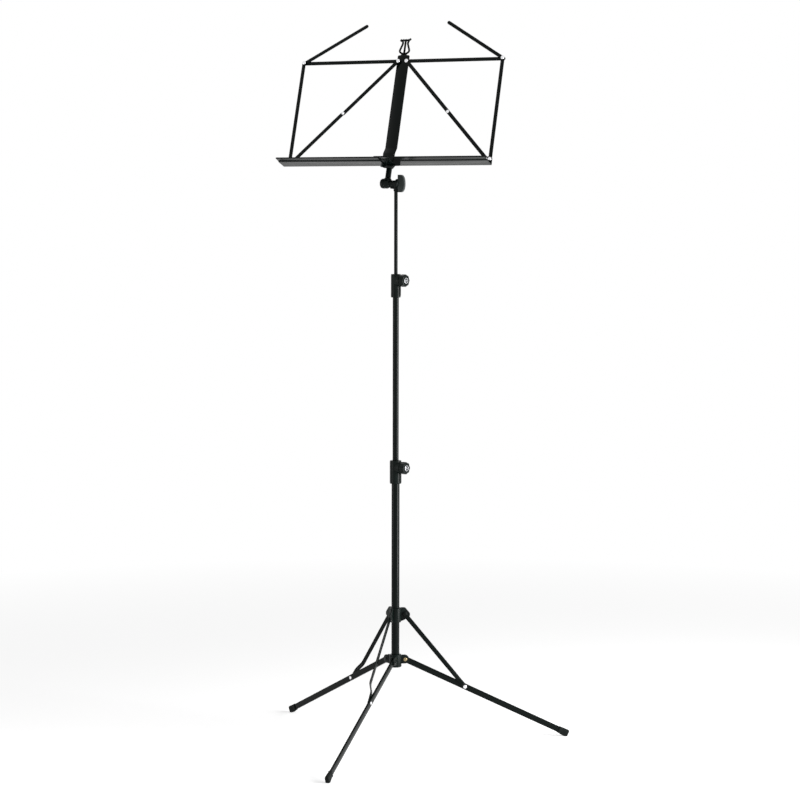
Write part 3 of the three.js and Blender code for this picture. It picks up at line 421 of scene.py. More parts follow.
def dress(name, mesh, look, body, nodes, edge=0.0, segments=2):
    """Bevels the sharp edges of a mesh, gives it its finish, hangs it on its body and hides the CAD nodes it
    stands for.
    """
    raw = add_object(name + "_raw", mesh)
    mesh.shade_smooth()
    if edge:
        bevel = raw.modifiers.new("edges", "BEVEL")
        bevel.width = edge * MM
        bevel.segments = segments
        bevel.limit_method = "ANGLE"
        bevel.angle_limit = BEVEL_FROM
        bevel.harden_normals = True
    final = plain_mesh(raw, name)
    final.set_sharp_from_angle(angle=SHARP_FROM)
    obj = add_object(name, final)
    final.materials.clear()
    final.materials.append(finish(look))
    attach(obj, body)
    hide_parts(*nodes)
    return obj


def finish(name):
    return bpy.data.materials[name]


def plain_mesh(obj, name):
    """The evaluated mesh of an object, which is then removed."""
    bpy.context.view_layer.update()
    evaluated = obj.evaluated_get(bpy.context.evaluated_depsgraph_get())
    mesh = bpy.data.meshes.new_from_object(evaluated)
    mesh.name = name
    bpy.data.objects.remove(obj)
    return mesh


# ---------- node trees ----------
class Graph:
    """A node tree under construction. A node that is used as a value stands for its first output."""

    def __init__(self, tree):
        self.tree = tree

    def node(self, kind, inputs=None, **settings):
        made = self.tree.nodes.new(kind)
        for key, value in settings.items():
            setattr(made, key, value)
        for key, value in (inputs or {}).items():
            self.put(value, made.inputs[key])
        return made

    def put(self, value, socket):
        if isinstance(value, bpy.types.Node):
            value = value.outputs[0]
        if isinstance(value, bpy.types.NodeSocket):
            self.tree.links.new(value, socket)
        else:
            socket.default_value = value

    def maths(self, operation, first, second=0.0):
        return self.node("ShaderNodeMath", {0: first, 1: second}, operation=operation)

    def remap(self, value, low, high, from_low=0.3, from_high=0.7):
        return self.node("ShaderNodeMapRange", {
            "Value": value, "From Min": from_low, "From Max": from_high, "To Min": low, "To Max": high})


def blank_material(name):
    """A material with nothing but its output node, and the socket for its surface."""
    material = bpy.data.materials.get(name) or bpy.data.materials.new(name)
    material.use_nodes = True
    material.node_tree.nodes.clear()
    return material, material.node_tree.nodes.new("ShaderNodeOutputMaterial").inputs["Surface"]


# ---------- finishes ----------
DARK_SPECULAR = 0.1  # the surround is white, so black pieces mirror little of it


class Coat(Graph):
    """A finish under construction, with noise on the object's own coordinates."""

    def __init__(self, name):
        material, surface = blank_material(name)
        super().__init__(material.node_tree)
        self.shader = self.node("ShaderNodeBsdfPrincipled")
        self.put(self.shader, surface)
        self.place = self.node("ShaderNodeTexCoord").outputs["Object"]

    def set(self, name, value):
        self.put(value, self.shader.inputs[name])

    def noise(self, scale, detail=2.0, stretch=None):
        place = self.place
        if stretch:
            place = self.node("ShaderNodeMapping", {"Vector": place, "Scale": stretch})
        return self.node("ShaderNodeTexNoise", {"Vector": place, "Scale": scale, "Detail": detail})

    def mix(self, factor, first, second):
        made = self.node("ShaderNodeMix", {"Factor": factor}, data_type="RGBA")
        ends = {socket.identifier: socket for socket in (*made.inputs, *made.outputs)}
        self.put(first, ends["A_Color"])
        self.put(second, ends["B_Color"])
        return ends["Result_Color"]

    def bump(self, height, distance, strength):
        self.set("Normal", self.node("ShaderNodeBump", {
            "Height": height, "Distance": distance, "Strength": strength}))


def tint(base, factor=1.0, lift=0.0):
    """A colour that is scaled and lifted, with full alpha."""
    return *(c * factor + lift for c in base), 1


def coated_steel(name, base, rough, seed):
    """Powder coat: orange peel, uneven gloss and a few pale rubbed specks."""
    coat = Coat(name)
    peel = coat.noise(scale=620.0, detail=3.0)
    cloud = coat.noise(scale=11.0 + seed, detail=4.0)
    rub = coat.noise(scale=90.0, detail=5.0, stretch=(1.0, 1.0, 0.35))
    coat.bump(peel, distance=0.00001, strength=0.1)
    coat.set("Roughness", coat.remap(cloud, rough - 0.03, rough + 0.05))
    body = coat.mix(coat.remap(cloud, 0.0, 1.0), tint(base, 0.82), tint(base))
    worn = coat.remap(rub, 0.0, 0.3, 0.6, 0.8)
    coat.set("Base Color", coat.mix(worn, body, tint(base, 2.0, 0.001)))
    coat.set("Specular IOR Level", DARK_SPECULAR)


def moulded(name, base, rough, grain):
    """Moulded plastic or rubber: fine spark texture and slightly greyed rubbed areas."""
    coat = Coat(name)
    spark = coat.noise(scale=grain)
    rub = coat.noise(scale=45.0, detail=4.0)
    coat.bump(spark, distance=0.00003, strength=0.4)
    coat.set("Roughness", coat.remap(rub, rough - 0.06, rough + 0.1))
    coat.set("Base Color", coat.mix(coat.remap(rub, 0.0, 0.8), tint(base), tint(base, 1.8, 0.002)))
    coat.set("Specular IOR Level", DARK_SPECULAR)


def plated(name, base, rough):
    """Plated metal: faint polishing marks and slight tarnish."""
    coat = Coat(name)
    marks = coat.noise(scale=900.0, stretch=(1.0, 1.0, 4.0))
    tarnish = coat.noise(scale=140.0, detail=3.0)
    coat.bump(marks, distance=0.00002, strength=0.3)
    coat.set("Roughness", coat.remap(marks, rough - 0.05, rough + 0.08))
    coat.set("Base Color", coat.mix(coat.remap(tarnish, 0.0, 0.7), tint(base), tint(base, 0.78)))
    coat.set("Metallic", 1.0)


class STAND_OT_finishes(bpy.types.Operator):
    """Make the finishes of the stand"""
    bl_idname = "stand.finishes"
    bl_label = "Finishes"

    def execute(self, context):
        look = context.scene.stand_finishes
        grain = 1500.0
        coated_steel("coated_steel", look.steel, look.steel_rough, 0)
        coated_steel("coated_sheet", look.steel, look.steel_rough - 0.02, 3)
        moulded("moulded_plastic", look.plastic, look.plastic_rough, grain)
        moulded("wing_plastic", look.wing, look.plastic_rough, grain)
        moulded("boot_rubber", look.rubber, 0.6, 900.0)
        plated("nickel_plate", look.nickel, 0.2)
        plated("disc_plate", look.disc, 0.24)
        plated("worn_brass", look.brass, 0.3)
        # painted reflection: a near-black coat for the ring in each screw disc's dish, standing in for the dish
        # mirroring the black knob
        recess = Coat("dark_recess")
        recess.set("Roughness", recess.remap(recess.noise(scale=300.0), 0.5, 0.7))
        recess.set("Base Color", (0.006, 0.006, 0.007, 1))
        recess.set("Specular IOR Level", DARK_SPECULAR)
        return {"FINISHED"}


# ---------- geometry trees ----------
class Tree(Graph):
    """A geometry node tree with named inputs."""
    KINDS = {int: "NodeSocketInt", float: "NodeSocketFloat"}

    def __init__(self, name, inputs):
        super().__init__(bpy.data.node_groups.new(name, "GeometryNodeTree"))
        face = self.tree.interface
        face.new_socket("Geometry", in_out="INPUT", socket_type="NodeSocketGeometry")
        face.new_socket("Geometry", in_out="OUTPUT", socket_type="NodeSocketGeometry")
        material = face.new_socket("Material", in_out="INPUT", socket_type="NodeSocketMaterial")
        self.sockets = {"Material": material.identifier}
        for label, default in inputs.items():
            socket = face.new_socket(label, in_out="INPUT", socket_type=self.KINDS[type(default)])
            socket.default_value = default
            self.sockets[label] = socket.identifier
        self.start, self.end = self.node("NodeGroupInput"), self.node("NodeGroupOutput")

    def given(self, *labels):
        return [self.start.outputs[label] for label in labels]

    def carried(self, name):
        """A vector that the points carry."""
        return self.node("GeometryNodeInputNamedAttribute", {"Name": name}, data_type="FLOAT_VECTOR")

    def axes(self, vector):
        return self.node("ShaderNodeSeparateXYZ", {"Vector": vector}).outputs

    def position(self):
        return self.axes(self.node("GeometryNodeInputPosition"))

    def upright(self, segments, depth):
        """A cylinder of radius one."""
        return self.node("GeometryNodeMeshCylinder", {"Vertices": segments, "Radius": 1.0, "Depth": depth})

    def raised(self, geometry, height, scale=(1.0, 1.0, 1.0)):
        lift = self.node("ShaderNodeCombineXYZ", {"X": 0.0, "Y": 0.0, "Z": height})
        return self.node("GeometryNodeTransform", {"Geometry": geometry, "Translation": lift, "Scale": scale})

    def join(self, parts):
        made = self.node("GeometryNodeJoinGeometry")
        for part in parts:
            self.put(part, made.inputs["Geometry"])
        return made

    def close(self, geometry):
        """Realizes instances, sets the material and ends the tree."""
        real = self.node("GeometryNodeRealizeInstances", {"Geometry": geometry})
        material, = self.given("Material")
        coated = self.node("GeometryNodeSetMaterial", {"Geometry": real, "Material": material})
        self.put(coated, self.end.inputs["Geometry"])
        return self

    def grown(self, name, mesh, values):
        """Runs the tree on a mesh and returns the plain mesh it makes."""
        raw = add_object(name + "_seed", mesh)
        modifier = raw.modifiers.new("tree", "NODES")
        modifier.node_group = self.tree
        for label, value in values.items():
            modifier[self.sockets[label]] = value
        return plain_mesh(raw, name)


def rivet_tree():
    """Domed heads and shanks on points that carry a direction, a head size and a shank size."""
    tree = Tree("rivets", {"Round": 20, "Rim": 0.3})
    points, segments, rim = tree.given("Geometry", "Round", "Rim")
    near = 0.001
    ball = tree.node("GeometryNodeMeshUVSphere", {"Segments": segments, "Rings": 12, "Radius": 1.0})
    at = tree.position()["Z"]
    dome = tree.node("GeometryNodeDeleteGeometry", {
        "Geometry": ball, "Selection": tree.maths("LESS_THAN", at, -0.01)})
    crown = tree.raised(dome, rim, scale=(1.0, 1.0, 0.7))
    band = tree.upright(segments, rim)
    joined = tree.join((crown, tree.raised(band, tree.maths("MULTIPLY", rim, 0.5))))
    # the rim's own top face would lie inside the dome
    facing = tree.axes(tree.node("GeometryNodeInputNormal"))["Z"]
    above = tree.maths("GREATER_THAN", at, tree.maths("SUBTRACT", rim, near))
    low = tree.maths("LESS_THAN", at, tree.maths("ADD", rim, near))
    flat = tree.maths("GREATER_THAN", facing, 0.99)
    inner = tree.maths("MULTIPLY", tree.maths("MULTIPLY", above, low), flat)
    open_head = tree.node("GeometryNodeDeleteGeometry", {"Geometry": joined, "Selection": inner},
                          domain="FACE", mode="ONLY_FACE")
    whole = tree.node("GeometryNodeMergeByDistance", {"Geometry": open_head, "Distance": 4 * near})
    stem = tree.upright(segments, 1.0)
    stem_down = tree.node("GeometryNodeTransform", {"Geometry": stem, "Translation": (0.0, 0.0, -0.5)})
    turn = tree.node("FunctionNodeAlignRotationToVector", {"Vector": tree.carried("direction")}, axis="Z")
    placed = []
    for part, size in ((whole, "head"), (stem_down, "shank")):
        scale = tree.carried(size)
        wide = tree.axes(scale)["X"]
        placed.append(tree.node("GeometryNodeInstanceOnPoints", {
            "Points": points, "Selection": tree.maths("GREATER_THAN", wide, 0.0), "Instance": part,
            "Rotation": turn, "Scale": scale}))
    return tree.close(tree.join(placed))


def stroke_tree():
    """A flat strip of metal with soft edges that follows a line drawn on the sheet."""
    tree = Tree("metal_strokes", {"Width": 2.5, "Thickness": 2.0, "Edge": 0.35})
    line, width, thick, edge = tree.given("Geometry", "Width", "Thickness", "Edge")
    curve = tree.node("GeometryNodeMeshToCurve", {"Mesh": line})
    upright = tree.node("GeometryNodeSetCurveNormal", {"Curve": curve}, mode="Z_UP")
    section = tree.node("GeometryNodeCurvePrimitiveQuadrilateral", {"Width": width, "Height": thick})
    soft = tree.node("GeometryNodeFilletCurve", {"Curve": section, "Radius": edge, "Count": 2}, mode="POLY")
    return tree.close(tree.node("GeometryNodeCurveToMesh", {
        "Curve": upright, "Profile Curve": soft, "Fill Caps": True}))


def knob_tree():
    """A drum with grip flutes and rounded rims, built round z."""
    tree = Tree("fluted_drum", {"Radius": 12.9, "Depth": 10.5, "Lobes": 16, "Flute": 1.1, "Edge": 1.0})
    radius, depth, lobes, flute, edge = tree.given("Radius", "Depth", "Lobes", "Flute", "Edge")
    maths = tree.maths
    drum = tree.node("GeometryNodeMeshCylinder", {
        "Vertices": 192, "Side Segments": 24, "Radius": radius, "Depth": depth})
    x, y, z = tree.position()
    wave = maths("COSINE", maths("MULTIPLY", maths("ARCTAN2", y, x), lobes))
    dip = maths("MULTIPLY", maths("SUBTRACT", 1.0, wave), maths("MULTIPLY", flute, 0.5))
    inside = maths("SUBTRACT", maths("MULTIPLY", depth, 0.5), edge)
    over = maths("MAXIMUM", maths("SUBTRACT", maths("ABSOLUTE", z), inside), 0.0)
    share = maths("DIVIDE", over, edge)
    drop = maths("SUBTRACT", 1.0, maths("SQRT", maths("SUBTRACT", 1.0, maths("MULTIPLY", share, share))))
    less = maths("ADD", dip, maths("MULTIPLY", drop, edge))
    ratio = maths("DIVIDE", maths("SUBTRACT", radius, less), radius)
    moved = tree.node("ShaderNodeCombineXYZ", {
        "X": maths("MULTIPLY", x, ratio), "Y": maths("MULTIPLY", y, ratio), "Z": z})
    return tree.close(tree.node("GeometryNodeSetPosition", {"Geometry": drum, "Position": moved}))


# ---------- column ----------
class STAND_OT_column(bpy.types.Operator):
    """Make the two tubes and the upper rod"""
    bl_idname = "stand.column"
    bl_label = "Column"

    def execute(self, context):
        for name, node, body, size in (
                ("lower_column_tube", "lower_tube", "base", "lower_radius"),
                ("middle_column_tube", "middle_tube", "middle_section", "middle_radius")):
            low, high = (corner.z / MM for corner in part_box(node))
            form = Form(COLUMN).pipe(mm(size), mm(size) - mm("tube_wall"), low, high)
            finish_piece(name, form, "coated_steel", body, node)
        low, high = (corner.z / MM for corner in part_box("upper_rod"))
        form = Form(COLUMN).turned(drum(mm("rod_radius"), low, high), 0.5)
        finish_piece("upper_column_rod", form, "coated_steel", "upper_section", "upper_rod")
        return {"FINISHED"}


# body, sleeve radius, radii of the tubes below and above, drop of the screw, tube below
CLAMPS = {
    "lower": ("base", "lower_sleeve", "lower_radius", "middle_radius", 9.5, "lower_tube"),
    "upper": ("middle_section", "upper_sleeve", "middle_radius", "rod_radius", 11.0, "middle_tube"),
}
BOSS_RADIUS, BOSS_REACH = 12.4, 4.6
RIB_HALF, RIB_RISE = 2.2, 1.6
DISC_RECESS, DISC_PROUD = 2.0, 0.9
FLUTE_DEPTH, KNOB_EDGE = 1.1, 1.6
# radii of the screw and of the socket, centre and ring of its disc, and the depths of dish and socket
SCREW, SOCKET, CENTRE, RING = 3.0, 0.7, 2.1, 4.3
DISH_DEPTH, SOCKET_DEPTH = 0.9, 1.6


class STAND_OT_clamps(bpy.types.Operator):
    """Make the two clamp sleeves with their fluted knobs and bright screw discs"""
    bl_idname = "stand.clamps"
    bl_label = "Clamps and knobs"

    def execute(self, context):
        fluted = knob_tree()
        height = mm("sleeve_height")
        for prefix, (body, sleeve, outer_tube, inner_tube, drop, tube) in CLAMPS.items():
            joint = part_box(tube)[1].z / MM
            low, high = joint - height / 2, joint + height / 2
            wide, bore, mouth = mm(sleeve), mm(outer_tube) + GAP, mm(inner_tube) + GAP
            form = Form(COLUMN).tube([
                (bore, low), (wide - 0.5, low), (wide, low + 2.5), (wide, high - 2.5), (wide - 0.5, high),
                (mouth, high), (mouth, joint + GAP), (bore, joint + GAP)], 0.8)
            # the frame's origin lies on the column's axis at the screw's height
            across = knob_frame(prefix)
            seat = wide + BOSS_REACH
            form.turned(drum(BOSS_RADIUS, wide * 0.45, seat), 0.9, place=across)
            bottom = low - joint - drop + 4
            rib = rounded([(-RIB_HALF, bottom), (RIB_HALF, bottom), (RIB_HALF, 0), (-RIB_HALF, 0)], 0.8)
            form.plate(rib, wide - 2.5, wide + RIB_RISE, place=across)
            clamp = f"{prefix}_clamp"
            finish_piece(f"{clamp}_sleeve", form, "moulded_plastic", body, clamp, edge=0.35)
            self.knob(prefix, across, seat + GAP, fluted)
            self.disc(prefix, across, seat + GAP, mouth + GAP)
        return {"FINISHED"}

    def knob(self, prefix, across, seat, fluted):
        depth = mm("knob_depth")
        form = Form(across)
        shape = form.mesh
        shape.from_mesh(fluted.grown(f"{prefix}_knob_drum", bpy.data.meshes.new("knob_seed"), {
            "Material": finish("moulded_plastic"), "Radius": mm("knob_radius"), "Depth": depth,
            "Lobes": sizes().knob_lobes, "Flute": FLUTE_DEPTH, "Edge": KNOB_EDGE}))
        face = depth / 2
        # the ends are opened round the screw and the disc, and the hollow is lined
        caps = [f for f in shape.faces if len(f.verts) > 4]
        bmesh.ops.delete(shape, geom=caps, context="FACES_ONLY")
        rear, front = ([v for v in shape.verts if abs(v.co.z - z) < 1e-3] for z in (-face, face))
        for ring in (rear, front):
            ring.sort(key=lambda v: atan2(v.co.y, v.co.x))
        hole, cup, floor = mm("rod_radius") - 0.5, mm("disc_radius") + GAP, face - DISC_RECESS
        last = front
        rays = [(v.co.x, v.co.y, hypot(v.co.x, v.co.y)) for v in front]
        for radius, z in (
                (cup + 1.6, face), (cup + 0.5, face - 0.25), (cup, face - 0.8), (cup, floor), (hole, floor),
                (hole, -face)):
            row = [shape.verts.new((radius * x / far, radius * y / far, z)) for x, y, far in rays]
            form.skin(last, row)
            last = row
        form.skin(last, rear)
        bmesh.ops.transform(shape, matrix=across @ Matrix.Translation((0, 0, seat + face)), verts=shape.verts)
        body, node = f"{prefix}_knob", f"{prefix}_clamp_knob"
        finish_piece(f"{prefix}_fluted_knob", form, "moulded_plastic", body, node)

    def disc(self, prefix, across, seat, tip):
        """Screw with a dished disc that has a socket in its middle, and a dark ring in its dish that paints the
        dish's reflection of the black knob.
        """
        face = seat + mm("knob_depth")
        radius, front, back = mm("disc_radius"), face + DISC_PROUD, face - DISC_RECESS + GAP
        dish, floor, hump, slack = front - DISH_DEPTH, front - SOCKET_DEPTH, front - 0.1, 0.05
        profile = [
            (0, tip), (SCREW - 0.6, tip), (SCREW, tip + 0.6), (SCREW, back), (radius, back),
            (radius, front - 0.4), (radius - 0.5, front), (RING + 0.2, front), (RING, dish), (CENTRE, dish),
            (CENTRE, hump), (SOCKET, hump), (SOCKET, floor), (0, floor)]
        form = Form(across).turned(profile, 0.25)
        body = f"{prefix}_knob"
        finish_piece(f"{prefix}_bright_screw", form, "disc_plate", body, f"{prefix}_clamp_screw")
        # painted reflection: a dark ring over the dish, standing in for the dish mirroring the black knob
        dish_reflection = Form(across).pipe(RING - slack, CENTRE + slack, dish + slack, hump, corner=0.1)
        finish_piece(f"{prefix}_screw_dish_reflection", dish_reflection, "dark_recess", body, f"{prefix}_clamp_knob")


# ---------- tripod ----------
class STAND_OT_hub(bpy.types.Operator):
    """Make the hub at the foot of the column, with its three pairs of lugs"""
    bl_idname = "stand.hub"
    bl_label = "Hub"

    def execute(self, context):
        bore = mm("lower_radius") + GAP
        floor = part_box("lower_tube")[0].z / MM - GAP
        low, high, wide = HUB_LOW, HUB_HIGH, HUB_RADIUS
        section = [
            (0, low), (wide - 1, low), (wide, low + 1.5), (wide, high - 1.5), (wide - 1, high), (bore, high),
            (bore, floor), (0, floor)]
        form = Form(COLUMN).turned(section, 0.7)
        root, web_end = 9.5, 13.2
        bottom, top = HUB_PIVOT.y - LUG_RADIUS, HUB_PIVOT.y + LUG_RADIUS
        lug = arc(HUB_PIVOT.x, HUB_PIVOT.y, LUG_RADIUS, -90, 90, 18) + [(root, top), (root, bottom)]
        web = [(root, bottom + 1), (web_end, bottom + 1), (web_end, top - 1), (root, top - 1)]
        for label in LEGS:
            place = leg_frame(label)
            for sides in CHEEKS:
                form.plate(lug, *sides, place=place)
            # the web lies between the two cheeks
            form.plate(web, CHEEKS[0][1] - 0.2, CHEEKS[1][0] + 0.2, place=place)
        finish_piece("tripod_hub", form, "moulded_plastic", "base", "hub", edge=0.7, segments=3)
        return {"FINISHED"}


class STAND_OT_collar(bpy.types.Operator):
    """Make the sliding collar with its three ears"""
    bl_idname = "stand.collar"
    bl_label = "Collar"

    def execute(self, context):
        bore = mm("lower_radius") + GAP
        low, high, wide = COLLAR_LOW, COLLAR_HIGH, COLLAR_RADIUS
        form = Form(COLUMN).tube([
            (bore, low), (wide - 0.4, low), (wide, low + 1.5), (wide, high - 3), (wide - 1.2, high - 0.6),
            (bore, high)], 0.7)
        pivot, reach, root = COLLAR_PIVOT.y, EAR_REACH, 9.6
        ear = rounded([
            (root, low + 2.5), (reach * 0.4, low + 1.7), (reach * 0.62, low + 4.1), (reach, pivot - 4.6),
            (reach, pivot + 1.6), (reach * 0.66, high), (root, high)], 2.2, steps=5)
        for label in LEGS:
            form.plate(ear, *EAR_SIDES, place=leg_frame(label))
        finish_piece("sliding_collar", form, "moulded_plastic", "collar", "collar", edge=0.45)
        return {"FINISHED"}


def along(label, pivot, slope):
    """x runs from a pivot along a leg or a strut."""
    at = Vector((pivot.x, pivot.y, 0))
    return leg_frame(label) @ Matrix.Translation(at) @ Matrix.Rotation(slope, 4, "Z")


def along_leg(label):
    return along(label, HUB_PIVOT, LEG_SLOPE)


def along_strut(label):
    return along(label, COLLAR_PIVOT, STRUT_SLOPE)


class STAND_OT_legs(bpy.types.Operator):
    """Make the three channel legs and their foot caps"""
    bl_idname = "stand.legs"
    bl_label = "Legs and foot caps"

    def channel(self, x, half, wide, wall):
        """Ring of the open channel at a place along the leg, for one half height."""
        left, right, floor = LEG_SIDE - wide / 2, LEG_SIDE + wide / 2, -half + wall
        ring = rounded([
            (left, -half), (right, -half), (right, half), (right - wall, half), (right - wall, floor),
            (left + wall, floor), (left + wall, half), (left, half)], 0.4, steps=2)
        return [(x, y, z) for z, y in ring]

    def execute(self, context):
        half, wide, wall = mm("leg_height") / 2, mm("leg_width"), mm("leg_wall")
        # the nose is round, and the far end hides in the foot cap
        first, steps = 14, 8
        turns = [radians(first + (90 - first) * k / steps) for k in range(steps + 1)]
        rings = [(-half * cos(t), max(half * sin(t), wall * 1.2)) for t in turns]
        rings.append((LEG_SPAN - CAP_HOLD, half))
        face = wide / 2 - LEG_SIDE
        head = [(0, face - 0.3), (3.6, face - 0.3), (3.6, face + 0.5), (1.8, face + 1.2), (0, face + 1.2)]
        for label in LEGS:
            place = along_leg(label)
            form = Form(place).stack([self.channel(x, h, wide, wall) for x, h in rings])
            seat = place @ Matrix.Translation((LEG_RIVET_ALONG, 0, 0)) @ Matrix.Rotation(pi, 4, "X")
            form.turned(head, 0.5, place=seat, steps=24)
            body = f"{label}_leg"
            leg = finish_piece(f"{body}_channel", form, "coated_steel", body, body)
            self.shine_head(leg, place, LEG_SIDE - wide / 2)
            self.boot(label, place, half)
        return {"FINISHED"}

    def shine_head(self, leg, place, face):
        """The rivet's far head is bright, though it belongs to the leg."""
        leg.data.materials.append(finish("nickel_plate"))
        local = place.inverted()
        for polygon in leg.data.polygons:
            if (local @ polygon.center).z < face - 0.05:
                polygon.material_index = 1

    def boot(self, label, place, half):
        """Foot cap: a collar where it starts, then a body that droops to the floor."""
        start, end = LEG_SPAN - CAP_START, LEG_SPAN + CAP_END
        wide, drop = mm("boot_width") / 2, half + CAP_DROP
        # place, underside, rise of the top over the channel, and how much narrower than the cap's width
        stations = [
            (start, -half - 0.9, 0.9, 0.5), (start + 0.5, -half - 1.1, 1.1, 0.2),
            (start + 2.6, -half - 1.1, 1.1, 0.2), (start + 3.2, -half - 0.8, 0.9, 0.5),
            (start + 8, -half - 1.6, 1.1, 0.4), (start + 14, -drop + 0.7, 1.4, 0.1), (end - 4, -drop, 1.6, 0),
            (end - 1.6, -drop + 0.4, 1.3, 0.1), (end - 0.3, -drop + 1.8, 0.3, 0.7),
            (end + 0.4, -drop + 3.6, -1.6, 1.9)]
        form = Form(place).loft([
            (x, low, half + rise, LEG_SIDE, wide - less) for x, low, rise, less in stations])
        # the rubber lies flat on the floor
        for vert in form.mesh.verts:
            vert.co.z = max(vert.co.z, 0.0)
        finish_piece(f"{label}_rubber_boot", form, "boot_rubber", f"{label}_leg", f"{label}_foot_cap")


class STAND_OT_struts(bpy.types.Operator):
    """Make the three flat struts that are bent beside the legs"""
    bl_idname = "stand.struts"
    bl_label = "Struts"

    def execute(self, context):
        half = mm("strut_width") / 2
        bend = [
            (0, STRUT_TOP), (STRUT_SPAN * BEND_START, STRUT_BENT), (STRUT_SPAN * BEND_END, STRUT_FOOT),
            (STRUT_SPAN, STRUT_FOOT)]
        start, end = bar_ends(STRUT_SPAN, half)
        stations = [(x, wide, STRUT_TOP) for x, wide in start]
        stations += [(p.x, half, p.y) for p in rounded(bend, 5.0, closed=False, steps=4)[1:-1]]
        stations += [(x, wide, STRUT_FOOT) for x, wide in end]
        for label in LEGS:
            form = Form(along_strut(label)).strap(stations, mm("strut_thick"))
            body = f"{label}_strut"
            finish_piece(f"{label}_flat_strut", form, "coated_steel", body, body, edge=0.35)
        return {"FINISHED"}


# ---------- tilter ----------
class STAND_OT_tilter(bpy.types.Operator):
    """Make the tilting joint: neck, boss with its shaft, bolt and half-round knob"""
    bl_idname = "stand.tilter"
    bl_label = "Tilting joint"

    def execute(self, context):
        self.neck()
        self.bolt()
        self.knob()
        self.boss()
        return {"FINISHED"}

    def neck(self):
        """The rod's socket, the neck that runs to the boss and the flange beside the knob."""
        inner, wide, flange, end = BOSS_INNER, NECK_RADIUS, FLANGE_RADIUS, FLANGE_END
        ball, rod = mm("ball_radius"), mm("rod_radius")
        form = Form(TILT).turned([
            (0, inner + GAP), (wide - 0.6, inner + GAP), (wide, inner + 1.2), (wide, inner + 5.6),
            (wide - 0.8, inner + 6.2), (wide - 0.8, inner + 7.2), (wide, inner + 7.8), (wide, 0.8),
            (flange - 0.6, 0.9), (flange, 1.5), (flange, end - 0.6), (flange - 0.6, end), (0, end)], 0.4)
        post = Matrix(COLUMN)
        post.translation = COLUMN_AT + UP * TILT_AT.z
        mouth, socket = -wide - 9, rod + 1.2
        profile = [(0, mouth), (socket - 0.4, mouth), (socket, mouth + 1), (socket, 0), (0, 0)]
        form.turned(profile, 0.4, place=post)
        fairing = [(-inner - GAP, 0), (0, 0), (0, -ball - 1.2), (-inner - GAP - 1.5, -ball)]
        form.plate(rounded(fairing, 1.0), -rod, rod, place=ALONG_TILT)
        finish_piece("tilt_neck", form, "coated_steel", "upper_section", "tilt_barrel", edge=0.3)

    def bolt(self):
        head, hexagon = BOSS_OUTER + 4.0, 2.4
        form = Form(TILT).turned(drum(BOLT_RADIUS, head, BOLT_END), steps=32)
        form.stack([circle(BOLT_RADIUS + over, head - drop, 6) for over, drop in (
            (hexagon - 0.3, 2.5), (hexagon, 2.1), (hexagon, 0))])
        finish_piece("tilt_through_bolt", form, "nickel_plate", "upper_section", "tilt_bolt", edge=0.3)

    def knob(self):
        """Half-round knob: straight sides, then a rounded end."""
        radius, depth, thick = mm("wing_radius"), mm("wing_depth"), mm("wing_thick") / 2
        seat, square = FLANGE_END + GAP, 6.5
        turns = [radians(angle) for angle in range(6, 90, 7)]
        bend, deep = seat + square, depth - square
        line = [(seat, radius), (bend, radius)]
        line += [(bend + deep * sin(t), radius * cos(t) ** 0.86) for t in turns]
        line += [(seat + depth, 0)] + [(x, -y) for x, y in reversed(line)]
        form = Form(ALONG_TILT).plate(rounded([(-x, y) for x, y in line], 0.6, steps=2), -thick, thick)
        hub, rise = 7.4, 1.6
        form.turned(drum(hub, 0, rise), place=TILT @ Matrix.Translation((0, 0, seat)))
        finish_piece("half_round_knob", form, "wing_plastic", "tilt_knob", "tilt_wing_knob", edge=1.5,
                     segments=4)

    def boss(self):
        """Round boss with a rim and a groove, and the shaft that carries the desk."""
        outer, inner, ball, shaft = BOSS_OUTER, BOSS_INNER, mm("ball_radius"), mm("shaft_radius")
        recess, groove = 5.6, ball - 0.7
        profile = [
            (0, outer + 4.2), (recess, outer + 4.2), (recess, outer + 0.5), (ball * 0.62, outer),
            (ball * 0.86, outer + 1.5), (ball * 0.97, outer + 3.6), (ball, outer + 6), (ball, outer + 8.6),
            (groove, outer + 9.1), (groove, outer + 10.1), (ball, outer + 10.6), (ball, inner - 5.5),
            (ball * 0.9, inner - 2.8), (NECK_RADIUS + 0.6, inner), (0, inner)]
        form = Form(TILT).turned(profile, 0.45)
        collar, foot = ball * 0.55, shaft + 2.2
        stem = [
            (0, 0), (foot, 0), (foot, collar + 3.4), (shaft, collar + 6.5), (shaft, SHAFT_TOP),
            (0, SHAFT_TOP)]
        form.turned(stem, 0.8, place=UP_DESK)
        finish_piece("desk_boss_and_shaft", form, "coated_steel", "desk", "desk_shaft")


# ---------- desk ----------
class STAND_OT_bracket(bpy.types.Operator):
    """Make the gusset between the shaft and the foot of the centre plate"""
    bl_idname = "stand.bracket"
    bl_label = "Desk gusset"

    def execute(self, context):
        shaft, half, wide = mm("shaft_radius"), mm("plate_half"), GUSSET_HALF
        low, top, wall = BRACKET_LOW, GUSSET_TOP, 2.5
        outline = [
            (-shaft - wall, low), (-wide, low + 3), (-wide, top), (wide, top), (wide, low + 4.8),
            (2 * shaft, low + 4.8), (shaft + wall, low)]
        form = Form(DESK).plate(rounded(outline, 0.9), -PLATE_THICK, PLATE_THICK)
        bore, wide = shaft + GAP, shaft + wall
        form.tube([
            (bore, low), (wide - 0.4, low), (wide, low + 0.8), (wide, top), (bore, top)], 0.3, place=UP_DESK)
        pad = [(-half, low + wall), (half, low + wall), (half, top), (-half, top)]
        form.plate(rounded(pad, 1.0), shaft, FOOT_BACK - GAP)
        cheek = [(shaft + 2, low + wall), (half, low + wall), (half, top), (shaft + 2, top)]
        for side in (-1, 1):
            form.plate(rounded([(side * x, y) for x, y in cheek[::side]], 0.5), 1.5, shaft + 0.2)
        finish_piece("desk_gusset", form, "coated_steel", "desk", "desk_bracket", edge=0.5)
        return {"FINISHED"}


